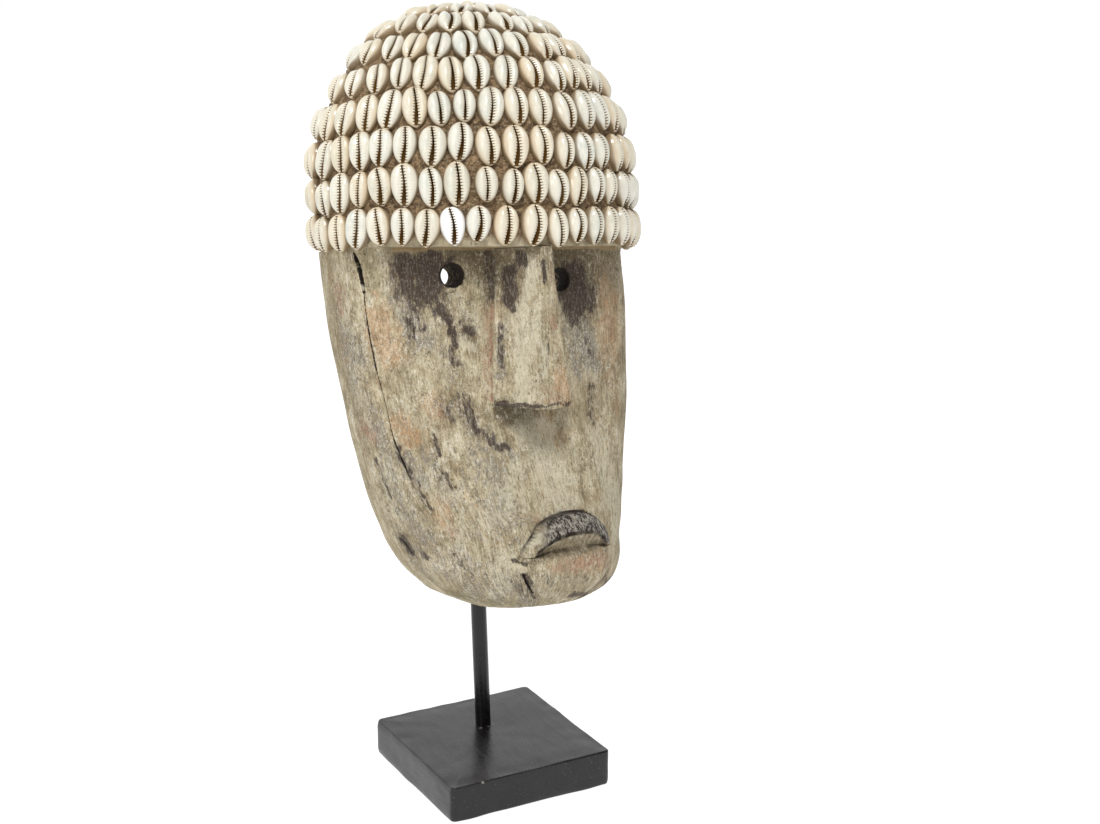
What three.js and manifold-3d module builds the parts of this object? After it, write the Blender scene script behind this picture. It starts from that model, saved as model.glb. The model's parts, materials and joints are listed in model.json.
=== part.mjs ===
// Cowrie shell mask on its stand. Millimetres, +Z up, the mask faces -Y.
// The origin is the centre of the underside of the square base.
import * as THREE from 'three';
import { mergeVertices } from 'three/addons/utils/BufferGeometryUtils.js';
import Module from 'manifold-3d';

const wasm = await Module();
wasm.setup();

// Stand
const BASE_SIDE = 100;
const BASE_HEIGHT = 20.8;
const BASE_CORNER = 3;
const BASE_EDGE = 0.8;
const ROD_RADIUS = 4.5;
const ROD_FOOT = new THREE.Vector3(3, 16.2, BASE_HEIGHT);
const ROD_LEAN = new THREE.Vector3(-0.032, 0.016, 1);
const ROD_BELOW = 14;
const ROD_ABOVE = 115;
const GAP = 0.3;

// The head leans back and a little to its left. Its own frame has x across, y to the back, z up the head.
const HEAD_LEAN = 13.5;
const HEAD_ROLL = 4.6;
const HEAD_PLACE = new THREE.Vector3(-2.7, -8.2, 115);

// Outline of the face, from the chin upward: height, half width, centre depth, front depth
const FACE_HEIGHTS = [-4.5, -2, 5, 19, 33, 53, 72, 101, 129, 160, 190, 206];
const FACE_HALF_WIDTHS = [29.5, 35, 49, 59, 62.5, 69.5, 74.5, 81, 84.5, 87, 87.5, 80];
const FACE_CENTRES = [-31, -31, -31, -21, -9, -6, -5, -4, 1, 6, 12, 12];
const FACE_FRONTS = [-58, -66, -72, -76, -77, -69, -62, -53, -50, -49.5, -49, -49];
const FACE_LEVELS = [-4.5, -3, 0, 5, 12, 20, 29, 40, 52, 66, 82, 101, 120, 140, 165, 190, 206];
const FACE_BACK_REACH = 60;
const FACE_SQUARENESS = 2.35;
const BACK_PLANE = 28;
const CHIN_SLOPE = 0.035;

// Dome of the cap, as the outside of the shells measures, and the bare wood under them
const CAP_HALF_WIDTH = 94.9;
const CAP_HALF_DEPTH = 86.1;
const CAP_CENTRE = 8.2;
const CAP_SPRING = 218.9;
const CAP_TOP = 326.1;
const CAP_POWER = 2.12;
const SHELL_RISE = 7;
const WOOD_DROP = SHELL_RISE + 0.6;
const RIM_REACH = 3.5;
const LEDGE_FRONT = 186.5;
const LEDGE_SIDE = 190;

// Hollow at the back of the head
const WALL = 15.5;
const HOLLOW_LEVELS = [45, 48, 56, 66, 82, 101, 125, 150, 176, 190, 204, 219, 240, 262, 280, 293, 300, 303];
const HOLLOW_FLOOR = 45;
const HOLLOW_TOP = 303.5;

// Face details
const EYE_RADIUS = 5.8;
const EYES = [[-41.3, 173], [22.3, 169.8]];
const NOSE_TOP = 185.5;
const NOSE_BOTTOM = 101.5;
const MOUTH_X = 3;

// Rows of shells: height, spacing, distance of the first shell from the front, how far the shell at the
// left rim sits apart, and shell length
const ROWS = [
  { height: 197.9, pitch: 14.37, first: 152.2, rim: 2.5, length: 20.2 },
  { height: 218.8, pitch: 14.3, first: 148.7, rim: 2.5, length: 20.0 },
  { height: 239.2, pitch: 14.82, first: 148.9, rim: 2.5, length: 19.8 },
  { height: 260.3, pitch: 14.49, first: 140.9, rim: 2.5, length: 19.4 },
  { height: 280.2, pitch: 14.54, first: 115.1, rim: 2.5, length: 19.2 },
  { height: 297.4, pitch: 14.36, first: 114.7, rim: 0, length: 18.9 },
  { height: 311.8, pitch: 14.47, first: 87, rim: 0, length: 18.6 },
  { height: 321.2, pitch: 14.4, first: 57.6, rim: 0, length: 17.6 },
  { height: 325.7, pitch: 17.0, first: 17.0, rim: 0, length: 17.0 },
];

// Monotone smooth curve through the measured points
function smooth(xs, ys, x) {
  const last = xs.length - 1;
  const at = Math.min(Math.max(x, xs[0]), xs[last]);
  let i = 0;
  while (i < last - 1 && at > xs[i + 1]) i += 1;
  const slope = (k) => (ys[k + 1] - ys[k]) / (xs[k + 1] - xs[k]);
  const tangent = (k) => {
    if (k === 0) return slope(0);
    if (k === last) return slope(last - 1);
    const before = slope(k - 1);
    const after = slope(k);
    return before * after > 0 ? (2 * before * after) / (before + after) : 0;
  };
  const span = xs[i + 1] - xs[i];
  const t = (at - xs[i]) / span;
  const rise = t * t * (3 - 2 * t);
  const bendStart = t * (1 - t) * (1 - t) * span * tangent(i);
  const bendEnd = t * t * (t - 1) * span * tangent(i + 1);
  return ys[i] * (1 - rise) + ys[i + 1] * rise + bendStart + bendEnd;
}

function signedPower(value, power) {
  return Math.sign(value) * Math.abs(value) ** power;
}

// Closed ring of the face at one height, set in by the wall where it is the hollow's ring
function faceRing(height, inset, count) {
  const width = smooth(FACE_HEIGHTS, FACE_HALF_WIDTHS, height) - inset;
  const centre = smooth(FACE_HEIGHTS, FACE_CENTRES, height);
  const front = smooth(FACE_HEIGHTS, FACE_FRONTS, height) + inset;
  const power = 2 / FACE_SQUARENESS;
  const ring = [];
  for (let k = 0; k < count; k += 1) {
    const turn = (2 * Math.PI * k) / count;
    const across = signedPower(Math.cos(turn), power) * width;
    const deep = signedPower(Math.sin(turn), power);
    const depth = centre + deep * (deep < 0 ? centre - front : FACE_BACK_REACH);
    const rising = CHIN_SLOPE * Math.max(0, depth + 60) * (1 - THREE.MathUtils.smoothstep(height, -4.5, 30));
    ring.push([across, depth, height + rising]);
  }
  return ring;
}

// Share of the dome's width that is left at a height
function capShare(height, top) {
  const up = Math.max(0, (height - CAP_SPRING) / (top - CAP_SPRING));
  return Math.max(0, 1 - up ** CAP_POWER) ** (1 / CAP_POWER);
}

function capCentre(height) {
  return CAP_CENTRE + 0.0234 * (height - 200);
}

function capRing(height, inset, count, top = CAP_TOP - inset) {
  const share = Math.max(capShare(height, top), 0.02);
  const ring = [];
  for (let k = 0; k < count; k += 1) {
    const turn = (2 * Math.PI * k) / count;
    const across = (CAP_HALF_WIDTH - inset) * share * Math.cos(turn);
    const deep = (CAP_HALF_DEPTH - inset) * share * Math.sin(turn);
    ring.push([across, capCentre(height) + deep, height]);
  }
  return ring;
}

// Solid through a stack of closed rings with a fan at each end
function loft(rings) {
  const count = rings[0].length;
  const points = rings.flat();
  const middle = (ring) => [0, 1, 2].map((axis) => ring.reduce((sum, p) => sum + p[axis], 0) / count);
  points.push(middle(rings[0]), middle(rings[rings.length - 1]));
  const faces = [];
  for (let level = 0; level < rings.length - 1; level += 1) {
    for (let k = 0; k < count; k += 1) {
      const a = level * count + k;
      const b = level * count + ((k + 1) % count);
      faces.push(a, b, b + count, a, b + count, a + count);
    }
  }
  const lastRing = (rings.length - 1) * count;
  for (let k = 0; k < count; k += 1) {
    const next = (k + 1) % count;
    faces.push(points.length - 2, next, k);
    faces.push(points.length - 1, lastRing + k, lastRing + next);
  }
  return new wasm.Manifold(new wasm.Mesh({
    numProp: 3,
    vertProperties: new Float32Array(points.flat()),
    triVerts: new Uint32Array(faces),
  }));
}

function cylinder(start, end, radius, count) {
  const along = new THREE.Vector3().subVectors(end, start).normalize();
  const side = new THREE.Vector3(1, 0, 0).addScaledVector(along, -along.x).normalize();
  const other = new THREE.Vector3().crossVectors(along, side);
  return loft([start, end].map((centre) => {
    const ring = [];
    for (let k = 0; k < count; k += 1) {
      const turn = (2 * Math.PI * k) / count;
      const point = centre.clone().addScaledVector(side, radius * Math.cos(turn));
      ring.push(point.addScaledVector(other, radius * Math.sin(turn)).toArray());
    }
    return ring;
  }));
}

function ellipsoid(centre, radii, around, levels) {
  const rings = [];
  for (let level = 0; level <= levels; level += 1) {
    const tilt = -Math.PI / 2 + (Math.PI * (level + 0.35)) / (levels + 0.7);
    const ring = [];
    for (let k = 0; k < around; k += 1) {
      const turn = (2 * Math.PI * k) / around;
      ring.push([
        centre[0] + radii[0] * Math.cos(tilt) * Math.cos(turn),
        centre[1] + radii[1] * Math.cos(tilt) * Math.sin(turn),
        centre[2] + radii[2] * Math.sin(tilt),
      ]);
    }
    rings.push(ring);
  }
  return loft(rings);
}

function toGeometry(solid) {
  const mesh = solid.getMesh();
  const geometry = new THREE.BufferGeometry();
  geometry.setAttribute('position', new THREE.BufferAttribute(mesh.vertProperties, 3));
  geometry.setIndex(new THREE.BufferAttribute(mesh.triVerts, 1));
  geometry.computeVertexNormals();
  return geometry;
}

function toSolid(geometry) {
  geometry.deleteAttribute('normal');
  geometry.deleteAttribute('uv');
  const merged = mergeVertices(geometry, 1e-4);
  return new wasm.Manifold(new wasm.Mesh({
    numProp: 3,
    vertProperties: new Float32Array(merged.attributes.position.array),
    triVerts: new Uint32Array(merged.index.array),
  }));
}

function named(name, geometry, material) {
  const mesh = new THREE.Mesh(geometry, material);
  mesh.name = name;
  return mesh;
}

// Repeatable spread between -1 and 1 for the small differences from shell to shell
function spread(row, index, salt) {
  const wave = Math.sin(row * 127.1 + index * 311.7 + salt * 74.7) * 43758.5453;
  return 2 * (wave - Math.floor(wave)) - 1;
}

const head = new THREE.Group();
head.name = 'mask';
head.position.copy(HEAD_PLACE);
head.rotation.set(-THREE.MathUtils.degToRad(HEAD_LEAN), THREE.MathUtils.degToRad(HEAD_ROLL), 0, 'YXZ');
head.updateMatrixWorld(true);

// Rod
const rodWay = ROD_LEAN.clone().normalize();
const rodStart = ROD_FOOT.clone().addScaledVector(rodWay, -ROD_BELOW);
const rodEnd = ROD_FOOT.clone().addScaledVector(rodWay, ROD_ABOVE);
const rod = named('stand_rod', toGeometry(cylinder(rodStart, rodEnd, ROD_RADIUS, 24)),
  new THREE.MeshStandardMaterial({ color: 0x1c1c1d, roughness: 0.38, metalness: 0.3 }));

// Base block with a blind hole for the rod
const half = BASE_SIDE / 2 - BASE_EDGE;
const corner = BASE_CORNER - BASE_EDGE;
const outline = new THREE.Shape();
outline.moveTo(-half + corner, -half);
outline.lineTo(half - corner, -half);
outline.absarc(half - corner, -half + corner, corner, -Math.PI / 2, 0, false);
outline.lineTo(half, half - corner);
outline.absarc(half - corner, half - corner, corner, 0, Math.PI / 2, false);
outline.lineTo(-half + corner, half);
outline.absarc(-half + corner, half - corner, corner, Math.PI / 2, Math.PI, false);
outline.lineTo(-half, -half + corner);
outline.absarc(-half + corner, -half + corner, corner, Math.PI, 1.5 * Math.PI, false);
const block = new THREE.ExtrudeGeometry(outline, {
  depth: BASE_HEIGHT - 2 * BASE_EDGE,
  curveSegments: 4,
  bevelEnabled: true,
  bevelSize: BASE_EDGE,
  bevelThickness: BASE_EDGE,
  bevelSegments: 2,
});
block.translate(0, 0, BASE_EDGE);
const rodHoleStart = rodStart.clone().addScaledVector(rodWay, -GAP);
const rodHole = cylinder(rodHoleStart, ROD_FOOT.clone().addScaledVector(rodWay, 5), ROD_RADIUS + GAP, 24);
const base = named('stand_base', toGeometry(toSolid(block).subtract(rodHole)),
  new THREE.MeshStandardMaterial({ color: 0x232223, roughness: 0.45, metalness: 0.0 }));

// Wood of the head: face, dome, nose, mouth
const face = loft(FACE_LEVELS.map((height) => faceRing(height, 0, 34)));
const domeLevels = [LEDGE_FRONT, 200, 219, 236, 252, 266, 279, 290, 299, 307, 313, 316.5, 318.4];
const dome = loft(domeLevels.map((height) => {
  const ring = capRing(height, WOOD_DROP, 34);
  if (height > LEDGE_FRONT) return ring;
  return ring.map(([x, y]) => [x, y, LEDGE_FRONT + (LEDGE_SIDE - LEDGE_FRONT) * (x / 88) ** 2]);
}));
const nose = wasm.Manifold.hull([
  [-2.6, -73, NOSE_TOP], [3.4, -73, NOSE_TOP], [-18.4, -49, NOSE_TOP], [15, -49, NOSE_TOP],
  [-14, -40, NOSE_TOP + 3], [12, -40, NOSE_TOP + 3],
  [-10.5, -78, NOSE_BOTTOM], [9, -78, NOSE_BOTTOM + 1.2], [-24, -53, NOSE_BOTTOM + 2.5], [23, -53, NOSE_BOTTOM + 2.5],
  [-20, -44, NOSE_BOTTOM + 4], [19, -44, NOSE_BOTTOM + 4],
]);
const boss = ellipsoid([MOUTH_X, -70, 22], [31, 16.5, 23], 24, 9);
const lipPath = [[-25, 29.5, 1.2], [-16, 36.8, 4], [-7, 39.6, 5], [3, 41, 5.3], [12, 40.6, 5.2],
  [19, 38.6, 4.5], [25, 35.4, 3], [29.5, 32, 1.2]];
const upperLip = loft(lipPath.map(([x, z, size]) => {
  const depth = -70 - 16.5 * Math.sqrt(Math.max(0, 1 - ((x - MOUTH_X) / 31) ** 2 - ((z - 22) / 23) ** 2));
  const ring = [];
  for (let k = 0; k < 10; k += 1) {
    const turn = (2 * Math.PI * k) / 10;
    ring.push([x, depth - 0.3 * size + 0.75 * size * Math.cos(turn), z + size * Math.sin(turn)]);
  }
  return ring;
}));
const lowerLip = ellipsoid([MOUTH_X, -83, 20.5], [24, 6.5, 7.5], 16, 5);
const lipGap = ellipsoid([MOUTH_X - 0.5, -92, 30.8], [24, 10, 3.6], 16, 5);

// The hollow runs from above the chin to under the crown and is open at the back
const hollow = loft(HOLLOW_LEVELS.map((height) => {
  const inFace = faceRing(height, WALL, 24);
  const inCap = capRing(Math.min(height, HOLLOW_TOP - 0.5), WALL + WOOD_DROP, 24, HOLLOW_TOP);
  const mix = THREE.MathUtils.smoothstep(height, 176, 206);
  const pinch = Math.sqrt(Math.min(1, (height - HOLLOW_FLOOR + 3) / 14));
  return inFace.map((point, k) => [
    (point[0] * (1 - mix) + inCap[k][0] * mix) * pinch,
    (point[1] * (1 - mix) + (inCap[k][1] > 10 ? 48 : inCap[k][1]) * mix) * pinch + (1 - pinch) * 34,
    height,
  ]);
}));
const toLocal = head.matrixWorld.clone().invert();
const holeFrom = rodEnd.clone().addScaledVector(rodWay, -60).applyMatrix4(toLocal);
const holeTo = rodEnd.clone().addScaledVector(rodWay, GAP).applyMatrix4(toLocal);
let wood = face.add(dome).trimByPlane([0, -1, 0], -BACK_PLANE);
wood = wood.add(nose).add(boss).add(upperLip).add(lowerLip).subtract(lipGap).subtract(hollow);
wood = wood.subtract(cylinder(holeFrom, holeTo, ROD_RADIUS + GAP, 24));
EYES.forEach(([x, z]) => {
  const from = new THREE.Vector3(x, -66, z);
  const to = new THREE.Vector3(x, -12, z);
  wood = wood.subtract(cylinder(from, to, EYE_RADIUS, 16));
});
head.add(named('carved_head', toGeometry(wood),
  new THREE.MeshStandardMaterial({ color: 0xbfae86, roughness: 0.85, metalness: 0.0 })));

// Frame of a shell on the dome: place of its back, outward, across, and up along the dome
function shellFrame(height, turn) {
  const share = capShare(height, CAP_TOP);
  const x = CAP_HALF_WIDTH * share * Math.sin(turn);
  const depth = -CAP_HALF_DEPTH * share * Math.cos(turn);
  const up = Math.max(0, (height - CAP_SPRING) / (CAP_TOP - CAP_SPRING));
  const out = new THREE.Vector3(
    (x / CAP_HALF_WIDTH ** 2) * share ** (CAP_POWER - 2),
    (depth / CAP_HALF_DEPTH ** 2) * share ** (CAP_POWER - 2),
    up ** (CAP_POWER - 1) / (CAP_TOP - CAP_SPRING),
  ).normalize();
  const across = new THREE.Vector3(0, 0, 1).cross(out).normalize();
  const along = new THREE.Vector3().crossVectors(out, across);
  const place = new THREE.Vector3(x, capCentre(height) + depth, height).addScaledVector(out, -SHELL_RISE);
  return { place, out, across, along };
}

// Turns at which a row's shells sit, evenly spaced by length along the row, up to the back plane
function rowTurns(row) {
  const share = capShare(row.height, CAP_TOP);
  const steps = 720;
  const lengths = [0];
  for (let k = 1; k <= steps; k += 1) {
    const middle = (Math.PI * (k - 0.5)) / steps;
    const dx = CAP_HALF_WIDTH * share * Math.cos(middle);
    const dy = CAP_HALF_DEPTH * share * Math.sin(middle);
    lengths.push(lengths[k - 1] + (Math.hypot(dx, dy) * Math.PI) / steps);
  }
  const turnAt = (length) => {
    let k = 1;
    while (k < steps && lengths[k] < length) k += 1;
    return (Math.PI * (k - (lengths[k] - length) / (lengths[k] - lengths[k - 1]))) / steps;
  };
  const turns = [];
  for (let i = 0; row.first - row.pitch * i > row.pitch / 2 - lengths[steps]; i += 1) {
    const length = row.first - row.pitch * i + row.rim * 0.4 ** i;
    const turn = Math.sign(-length) * turnAt(Math.abs(length));
    const depth = capCentre(row.height) - CAP_HALF_DEPTH * share * Math.cos(turn);
    if (depth < BACK_PLANE - RIM_REACH) turns.push(turn);
  }
  return turns;
}

// One cowrie, slit outward: narrow flat back, wide belly, low ridge. The broad end is up.
function cowrie(frame, width, length, rise) {
  const points = [];
  const put = (u, v, w) => {
    const point = frame.place.clone().addScaledVector(frame.across, u);
    point.addScaledVector(frame.along, v).addScaledVector(frame.out, w);
    points.push(point.toArray());
  };
  const ring = (count, scale, w) => {
    for (let k = 0; k < count; k += 1) {
      const turn = (2 * Math.PI * (k + 0.5)) / count;
      const v = Math.sin(turn);
      const broad = 1 + 0.14 * v;
      put(scale * broad * (width / 2 / 0.96) * Math.cos(turn), scale * (length / 2 / 0.95) * v, w);
    }
  };
  ring(3, 0.7, 0);
  ring(8, 1, 0.42 * rise);
  ring(4, 0.78, rise);
  return wasm.Manifold.hull(points);
}

const shellColours = [0xe6decd, 0xe9e2d2, 0xe4dac6, 0xe8dfcb, 0xe3d9c5, 0xe9e1cf, 0xe5dccb, 0xe8dfcd, 0xe6ddca];
ROWS.forEach((row, r) => {
  const turns = rowTurns(row);
  const frames = turns.map((turn) => shellFrame(row.height, turn));
  const bellies = frames.map((frame) => frame.place.clone().addScaledVector(frame.out, 2.9));
  const spacings = bellies.slice(1).map((belly, i) => belly.distanceTo(bellies[i]));
  const cowries = frames.map((frame, i) => {
    const spacing = i === 0 ? 2 * spacings[0] - Math.min(...spacings) : Math.min(...spacings);
    const width = spacing + 0.8 + 0.25 * spread(r, i, 1);
    const rise = SHELL_RISE + 0.1 + 0.2 * spread(r, i, 2);
    return cowrie(frame, width, row.length - 0.3 + 0.3 * spread(r, i, 3), rise);
  });
  head.add(named(`shell_row_${r + 1}`, toGeometry(wasm.Manifold.union(cowries).simplify(0.15)),
    new THREE.MeshStandardMaterial({ color: shellColours[r], roughness: 0.25, metalness: 0.0 })));
});

const object = new THREE.Group();
object.name = 'cowrie_mask_on_stand';
object.add(base, rod, head);
export default object;
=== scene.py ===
# Cowrie shell mask on its rod and square base, dressed for the render.
# Metres, +Z up, the mask faces -Y.
# The head has its own frame in millimetres: x across, y back, z up the head.
import json
import math
import bmesh
import bpy
import numpy as np
from mathutils import Matrix, Vector

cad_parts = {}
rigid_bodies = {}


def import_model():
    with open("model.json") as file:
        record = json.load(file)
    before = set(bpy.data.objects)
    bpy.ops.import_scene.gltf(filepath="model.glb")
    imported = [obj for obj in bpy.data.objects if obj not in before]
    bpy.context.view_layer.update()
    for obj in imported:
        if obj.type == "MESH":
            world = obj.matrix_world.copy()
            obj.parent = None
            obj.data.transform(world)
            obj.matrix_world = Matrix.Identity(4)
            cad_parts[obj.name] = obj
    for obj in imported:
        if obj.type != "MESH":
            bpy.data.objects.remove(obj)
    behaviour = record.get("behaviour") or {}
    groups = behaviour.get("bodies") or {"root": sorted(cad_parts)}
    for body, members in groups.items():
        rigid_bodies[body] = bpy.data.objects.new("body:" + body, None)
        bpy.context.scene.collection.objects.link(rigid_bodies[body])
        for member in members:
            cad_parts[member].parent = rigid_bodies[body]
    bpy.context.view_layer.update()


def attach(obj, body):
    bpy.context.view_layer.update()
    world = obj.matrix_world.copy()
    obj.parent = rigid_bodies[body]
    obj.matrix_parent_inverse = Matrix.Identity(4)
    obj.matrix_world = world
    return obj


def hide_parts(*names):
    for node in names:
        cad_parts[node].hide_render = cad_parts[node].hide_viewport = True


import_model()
scene = bpy.context.scene
collection = scene.collection

MM = 0.001
LEAN, ROLL = math.radians(13.5), math.radians(4.6)
HEAD_TURN = Matrix.Rotation(ROLL, 4, "Y") @ Matrix.Rotation(-LEAN, 4, "X")
HEAD = Matrix.Translation(Vector((-2.7, -8.2, 115)) * MM) @ HEAD_TURN @ Matrix.Scale(MM, 4)

# Outline of the face from the chin upward
CHIN_FLAT, CHIN_FRONT, CHIN_SLOPE = -4.5, -60, 0.035
FACE_HEIGHTS = [CHIN_FLAT, -2, 5, 19, 33, 53, 72, 101, 129, 160, 190, 206]
FACE_HALF_WIDTHS = [29.5, 35, 49, 59, 62.5, 69.5, 74.5, 81, 84.5, 87, 87.5, 80]
FACE_CENTRES = [-31, -31, -31, -21, -9, -6, -5, -4, 1, 6, 12, 12]
FACE_FRONTS = [-58, -66, -72, -76, -77, -69, -62, -53, -50, -49.5, -49, -49]
BACK_REACH, SQUARENESS, BACK_PLANE = 60, 2.35, 28
FRONT_TURN = 2.15  # the turn to either side that the close points of a ring reach
GAUGE_HEIGHT, GAUGE_HALF_WIDTH = 129, 84.5  # the ring that lengths round the face are measured on

EYE_RADIUS, EYES = 5.8, [(-41.3, 173), (22.3, 169.8)]

# Dome under and over the shells
CAP_WIDE, CAP_DEEP, CAP_CENTRE, CAP_SPRING, CAP_TOP, CAP_POWER = 94.9, 86.1, 8.2, 218.9, 326.1, 2.12
SHELL_RISE, WOOD_DROP = 7.15, 7.6
LEDGE_FRONT, LEDGE_SIDE, LEDGE_HALF_WIDTH = 186.5, 190, 88
WALL, HOLLOW_FLOOR, HOLLOW_TOP, OPEN_BACK = 15.5, 45, 303.5, 48

# Stand
BASE_SIDE, BASE_HIGH, BASE_CORNER, BASE_EDGE = 100, 20.8, 3.0, 0.8
ROD_RADIUS, ROD_FOOT, ROD_LEAN = 4.48, np.array([3, 16.2, BASE_HIGH]), np.array([-0.032, 0.016, 1])
ROD_WAY = ROD_LEAN / np.linalg.norm(ROD_LEAN)
ROD_SUNK, ROD_TOP, ROD_HOLE_TOP, ROD_HOLE_RADIUS = 13.5, 114.8, 115.3, 4.85

# Studio: the floor in metres; the camera by its angles, where it looks and how far off it is in mm
FLOOR_REACH, FLOOR_LEVEL = 6, -0.0006
AZIMUTH, ELEVATION, CAMERA_ROLL = math.radians(-29.345), math.radians(16.082), math.radians(0.568)
AIM_RIGHT, AIM_HIGH, CAMERA_AWAY = 32.05, 215.2, 1044.7
SENSOR_MM, FOCAL_PX, IMAGE_WIDTH_PX = 36, 1900, 1100
SOFT_STEP = {"interpolation_type": "SMOOTHSTEP"}


# Numbers and fields

def smooth(xs, ys, at):
    """Monotone smooth curve through measured points."""
    xs, ys, at = np.array(xs, float), np.array(ys, float), np.clip(np.asarray(at, float), xs[0], xs[-1])
    slope = np.diff(ys) / np.diff(xs)
    inner = np.where(slope[:-1] * slope[1:] > 0,
                     2 * slope[:-1] * slope[1:] / (slope[:-1] + slope[1:] + 1e-12), 0)
    tangent = np.concatenate([[slope[0]], inner, [slope[-1]]])
    i = np.clip(np.searchsorted(xs, at, side="right") - 1, 0, len(xs) - 2)
    span = xs[i + 1] - xs[i]
    t = (at - xs[i]) / span
    rise = t * t * (3 - 2 * t)
    return (ys[i] * (1 - rise) + ys[i + 1] * rise + t * (1 - t) ** 2 * span * tangent[i]
            + t * t * (t - 1) * span * tangent[i + 1])


def ramp(low, high, value):
    """Smooth step from 0 at low to 1 at high."""
    t = np.clip((np.asarray(value, float) - low) / (high - low), 0, 1)
    return t * t * (3 - 2 * t)


def strongest(*masks):
    return np.maximum.reduce(masks)


def power(value, exponent):
    """Power of a size that keeps its sign."""
    return np.sign(value) * np.abs(value) ** exponent


def lumps(points, size, seed):
    """Smooth random field between -1 and 1, its lumps about size mm across."""
    q = np.asarray(points, float) / np.asarray(size, float) + seed * 17.31
    cell = np.floor(q).astype(np.int64)
    f = q - cell
    f = f * f * (3 - 2 * f)
    total = np.zeros(q.shape[:-1])
    for corner in range(8):
        step = np.array([(corner >> axis) & 1 for axis in range(3)])
        c = cell + step
        mixed = (c[..., 0] * 73856093) ^ (c[..., 1] * 19349663) ^ (c[..., 2] * 83492791) ^ (seed * 2654435)
        mixed = (mixed ^ (mixed >> 13)) * 1274126177
        value = ((mixed ^ (mixed >> 16)) & 0xFFFF) / 32767.5 - 1
        total += value * np.prod(np.where(step == 1, f, 1 - f), axis=-1)
    return total


def to_world(points):
    points = np.asarray(points, float)
    m = np.array(HEAD)
    return points @ m[:3, :3].T + m[:3, 3]


def to_head(points):
    m = np.array(HEAD.inverted())
    return np.asarray(points, float) @ m[:3, :3].T + m[:3, 3]


# Meshes

def make_mesh(name, points, faces):
    mesh = bpy.data.meshes.new(name)
    mesh.from_pydata([tuple(p) for p in points], [], [tuple(f) for f in faces])
    mesh.validate()
    return mesh


def put(mesh):
    thing = bpy.data.objects.new(mesh.name, mesh)
    collection.objects.link(thing)
    return thing


def tube_faces(levels, count):
    """Faces between closed rings of points, and a fan at each end to one of the two points after them."""
    faces = []
    for level in range(levels - 1):
        a = level * count
        for k in range(count):
            n = (k + 1) % count
            faces.append((a + k, a + n, a + count + n, a + count + k))
    last = (levels - 1) * count
    for k in range(count):
        n = (k + 1) % count
        faces += [(levels * count, n, k), (levels * count + 1, last + k, last + n)]
    return faces


def closed_body(name, points, faces):
    """Closed mesh set in the scene, its faces turned outward."""
    thing = put(make_mesh(name, points, faces))
    shape = bmesh.new()
    shape.from_mesh(thing.data)
    bmesh.ops.recalc_face_normals(shape, faces=shape.faces)
    if shape.calc_volume(signed=True) < 0:
        bmesh.ops.reverse_faces(shape, faces=shape.faces)
    shape.to_mesh(thing.data)
    shape.free()
    return thing


def stack(name, rings, place=to_world):
    """Closed solid through a stack of closed rings; a fan closes each end."""
    rings = np.asarray(rings, float)
    levels, count = rings.shape[:2]
    points = place(rings.reshape(-1, 3))
    ends = [points[:count].mean(0), points[-count:].mean(0)]
    return closed_body(name, np.concatenate([points, ends]), tube_faces(levels, count))


def carve(body, tool, operation):
    """Joins or cuts one closed solid with another and removes the tool."""
    cut = body.modifiers.new("carve", "BOOLEAN")
    cut.operation, cut.solver, cut.object = operation, "MANIFOLD", tool
    made = bpy.data.meshes.new_from_object(body.evaluated_get(bpy.context.evaluated_depsgraph_get()))
    body.modifiers.remove(cut)
    if len(made.polygons) == 0:
        raise RuntimeError("carving failed at " + tool.name)
    old = body.data
    body.data = made
    bpy.data.meshes.remove(old)
    drop(tool)


def drop(thing):
    mesh = thing.data
    bpy.data.objects.remove(thing)
    bpy.data.meshes.remove(mesh)


def store(mesh, name, values, kind="FLOAT_VECTOR"):
    layer = mesh.attributes.new(name, kind, "POINT")
    values = np.asarray(values, np.int32 if kind == "INT" else np.float32)
    layer.data.foreach_set("vector" if kind == "FLOAT_VECTOR" else "value", values.ravel())


def points_of(mesh):
    flat = np.empty(len(mesh.vertices) * 3, np.float32)
    mesh.vertices.foreach_get("co", flat)
    return flat.reshape(-1, 3).astype(float)


# Materials

def linear(hex_colour):
    """An sRGB hex value as the linear colour that the shaders take."""
    parts = [int(hex_colour[i:i + 2], 16) / 255 for i in (1, 3, 5)]
    return tuple(c / 12.92 if c <= 0.04045 else ((c + 0.055) / 1.055) ** 2.4 for c in parts) + (1.0,)


def feed(tree, node, inputs):
    """Gives inputs to a node, by name or in order: a value, a hex colour, or an output, which is linked."""
    for name, value in inputs.items() if isinstance(inputs, dict) else enumerate(inputs):
        if isinstance(value, bpy.types.NodeSocket):
            tree.links.new(value, node.inputs[name])
        else:
            node.inputs[name].default_value = linear(value) if str(value).startswith("#") else value


def add(tree, kind, inputs=(), out=0, **settings):
    """Adds a node with its settings and its inputs, and gives one of its outputs."""
    made = tree.nodes.new(kind)
    for name, value in settings.items():
        setattr(made, name, value)
    feed(tree, made, inputs)
    return made.outputs[out]


def blank_material(name):
    material = bpy.data.materials.new(name)
    material.use_nodes = True
    tree = material.node_tree
    tree.nodes.clear()
    shader = tree.nodes.new("ShaderNodeBsdfPrincipled")
    output = tree.nodes.new("ShaderNodeOutputMaterial")
    tree.links.new(shader.outputs["BSDF"], output.inputs["Surface"])
    return material, tree, shader


def in_head(tree):
    """Object coordinates turned into the head's own frame, in millimetres."""
    place = add(tree, "ShaderNodeTexCoord", out=3)
    back = HEAD.inverted()
    return add(tree, "ShaderNodeMapping", {
        "Vector": place, "Location": tuple(back.translation), "Scale": (1 / MM, 1 / MM, 1 / MM),
        "Rotation": tuple(back.to_quaternion().to_euler("XYZ"))})


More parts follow.
